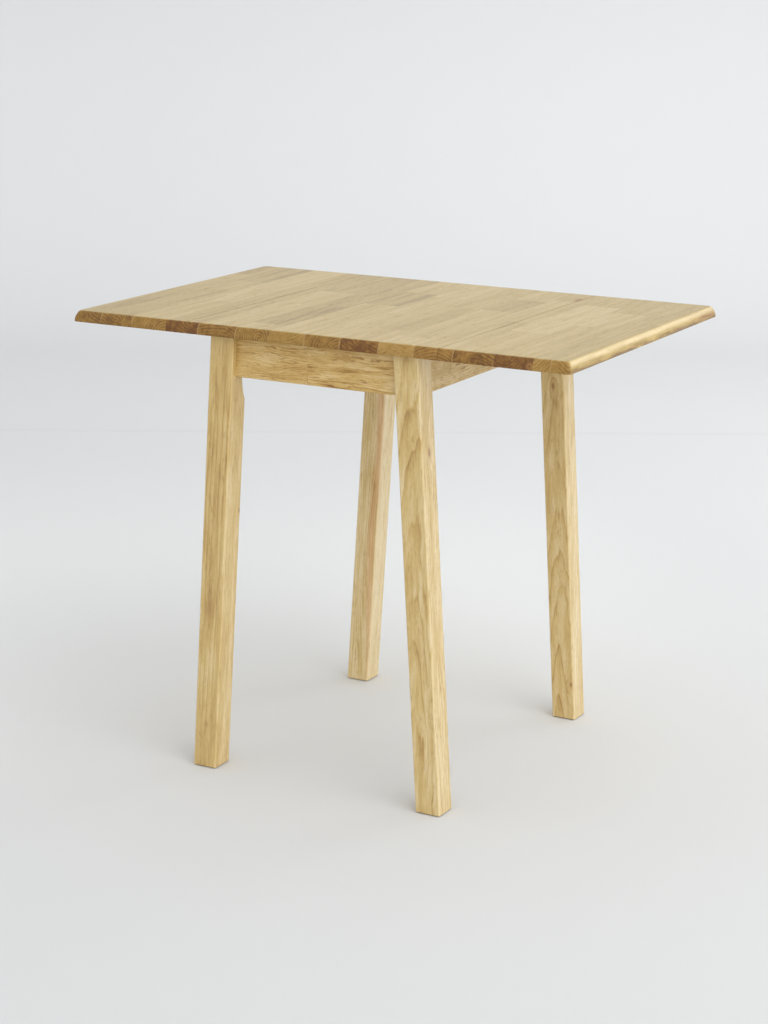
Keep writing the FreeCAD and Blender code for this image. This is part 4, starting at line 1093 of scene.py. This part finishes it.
    @staticmethod
    def add_area(name: str, at: Place, aim: Place, size: Pair, power: float) -> None:
        """Rectangular area lamp that points at a place."""
        lamp = bpy.data.lights.new(name, "AREA")
        lamp.shape = "RECTANGLE"
        lamp.size, lamp.size_y = size
        lamp.energy = power
        holder = bpy.data.objects.new(name, lamp)
        holder.visible_camera = False
        holder.location = at
        holder.rotation_euler = (Vector(aim) - Vector(at)).to_track_quat("-Z", "Y").to_euler()
        bpy.context.scene.collection.objects.link(holder)


# ---- table


FAR_RIGHT_KNOTS = ((173.1, 233.0, 592.4, 3.0), (222.0, 233.0, 65.0, 2.2))


@dataclass
class Table:
    """The folding table: three boards, four legs, four aprons and the steelwork of the frame."""

    underside: float = 0.727
    apron_bottom: float = 0.661
    half_length: float = 0.440
    seam: float = 0.224
    seam_gap: float = 0.0006
    foot_spread: float = 0.209
    top_spread: float = 0.163
    half_apron: float = 0.010
    screw_y: float = 0.12
    apron_joint: float = 0.014

    def boards(self) -> list[Board]:
        """Fixed board and the two drop leaves."""
        inner, outer = self.seam - self.seam_gap / 2, self.seam + self.seam_gap / 2
        return [
            Board("fixed_top", "frame", -inner, inner, False, False),
            Board("left_leaf", "left_leaf", -self.half_length, -outer, True, False, seam_line=0.0008),
            Board("right_leaf", "right_leaf", outer, self.half_length, False, True),
        ]

    def legs(self) -> list[Leg]:
        """Four legs, each cut from its own part of a log."""
        return [
            Leg("near", "left", 0.47, (70, 95), (0.0, 0.01), ((-159.8, -237.4, 436.9, 1.8),)),
            Leg("near", "right", 0.385, (-6, 44), (0.06, 0.05), ((194.1, -253.5, 575.9, 3.4),)),
            Leg("far", "right", 0.36, (4, 38), (0.02, 0.06), FAR_RIGHT_KNOTS),
            Leg("far", "left", 0.20, (14, -24), (-0.01, 0.012), heart=1.0),
        ]

    def aprons(self) -> list[Apron]:
        """Long aprons between near or far legs, and the leaning side aprons."""
        low, high = self.apron_bottom, self.underside
        slope = (self.foot_spread - self.top_spread) / self.underside
        stretch = math.hypot(1.0, slope)
        made = []
        for end, way, shade in (("near", -1, 0.33), ("far", 1, 0.355)):
            box_low, box_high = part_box(f"{end}_apron")
            reach, top_reach = box_high.x, box_high.x - (high - low) * slope
            corners = ((-reach, low), (reach, low), (top_reach, high), (-top_reach, high))
            made.append(
                Apron(
                    f"{end}_apron", shade, (40 * way, -70), corners, (box_low.y, box_high.y), True,
                    joint=self.apron_joint * way, patches=0.45,
                )
            )
        low_x, high_x = (self.foot_spread - level * slope for level in (low, high))
        for side, way in (("left", -1), ("right", 1)):
            box_low, box_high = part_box(f"{side}_apron")
            lows, highs = [], []
            for across in (-self.half_apron * way, self.half_apron * way):
                lows.append((way * (low_x + across / stretch), low + across * slope / stretch))
                highs.append((way * (high_x + across * stretch), high))
            made.append(
                Apron(
                    f"{side}_apron", 0.14, (35, 60 * way), (*lows, *reversed(highs)),
                    (box_low.y, box_high.y), False,
                    tuple((way * low_x, y, low) for y in (-self.screw_y, self.screw_y)),
                    -way * math.atan(slope),
                )
            )
        return made


NYLON_WORDS = ("glide", "discs")


def finish_hardware() -> None:
    """Give every piece of hardware its steel or nylon."""
    steel, nylon = ZincSteel().material(), Nylon().material()
    for name, item in frame["nodes"].items():
        if item.hide_render:
            continue
        chosen = nylon if any(word in name for word in NYLON_WORDS) else steel
        for slot in item.material_slots:
            slot.material = chosen
        LOG.info("%s: %s", name, chosen.name)


def main() -> None:
    """Build the table's finish and the studio."""
    logging.basicConfig(level=logging.INFO, format="%(name)s: %(message)s")
    table = Table()
    board_finish = Rubberwood(
        "rubberwood_board", TOP_STOPS, streak_strength=0.7, fibre_strength=0.35,
        pore_strength=0.28, waviness=3.0, coat=0.3, coat_roughness=0.15,
    ).material()
    leg_finish = Rubberwood(
        "rubberwood_leg", FRAME_STOPS, 4.2, 0.4, 2.8, 0.6, 0.45, 0.4, coat=0.9
    ).material()
    figured_finish = Rubberwood(
        "rubberwood_figured_leg", FRAME_STOPS, 5.0, 0.55, 4.5, 0.35, 0.4, 0.4, coat=0.9
    ).material()
    apron_finish = Rubberwood(
        "rubberwood_apron", APRON_STOPS, 3.6, 0.4, 2.2, 0.8, 0.5, 0.8, 14.0, coat=0.3
    ).material()
    legs = table.legs()
    for parts, finish in (
        (table.boards(), board_finish),
        ([leg for leg in legs if leg.side == "left"], leg_finish),
        ([leg for leg in legs if leg.side == "right"], figured_finish),
        (table.aprons(), apron_finish),
    ):
        for part in parts:
            made = part.build(finish)
            LOG.info("%s: %d faces", made.name, len(made.data.polygons))
    finish_hardware()
    Studio().build()
    bpy.context.scene.view_settings.view_transform = "Standard"


if __name__ == "__main__":
    main()
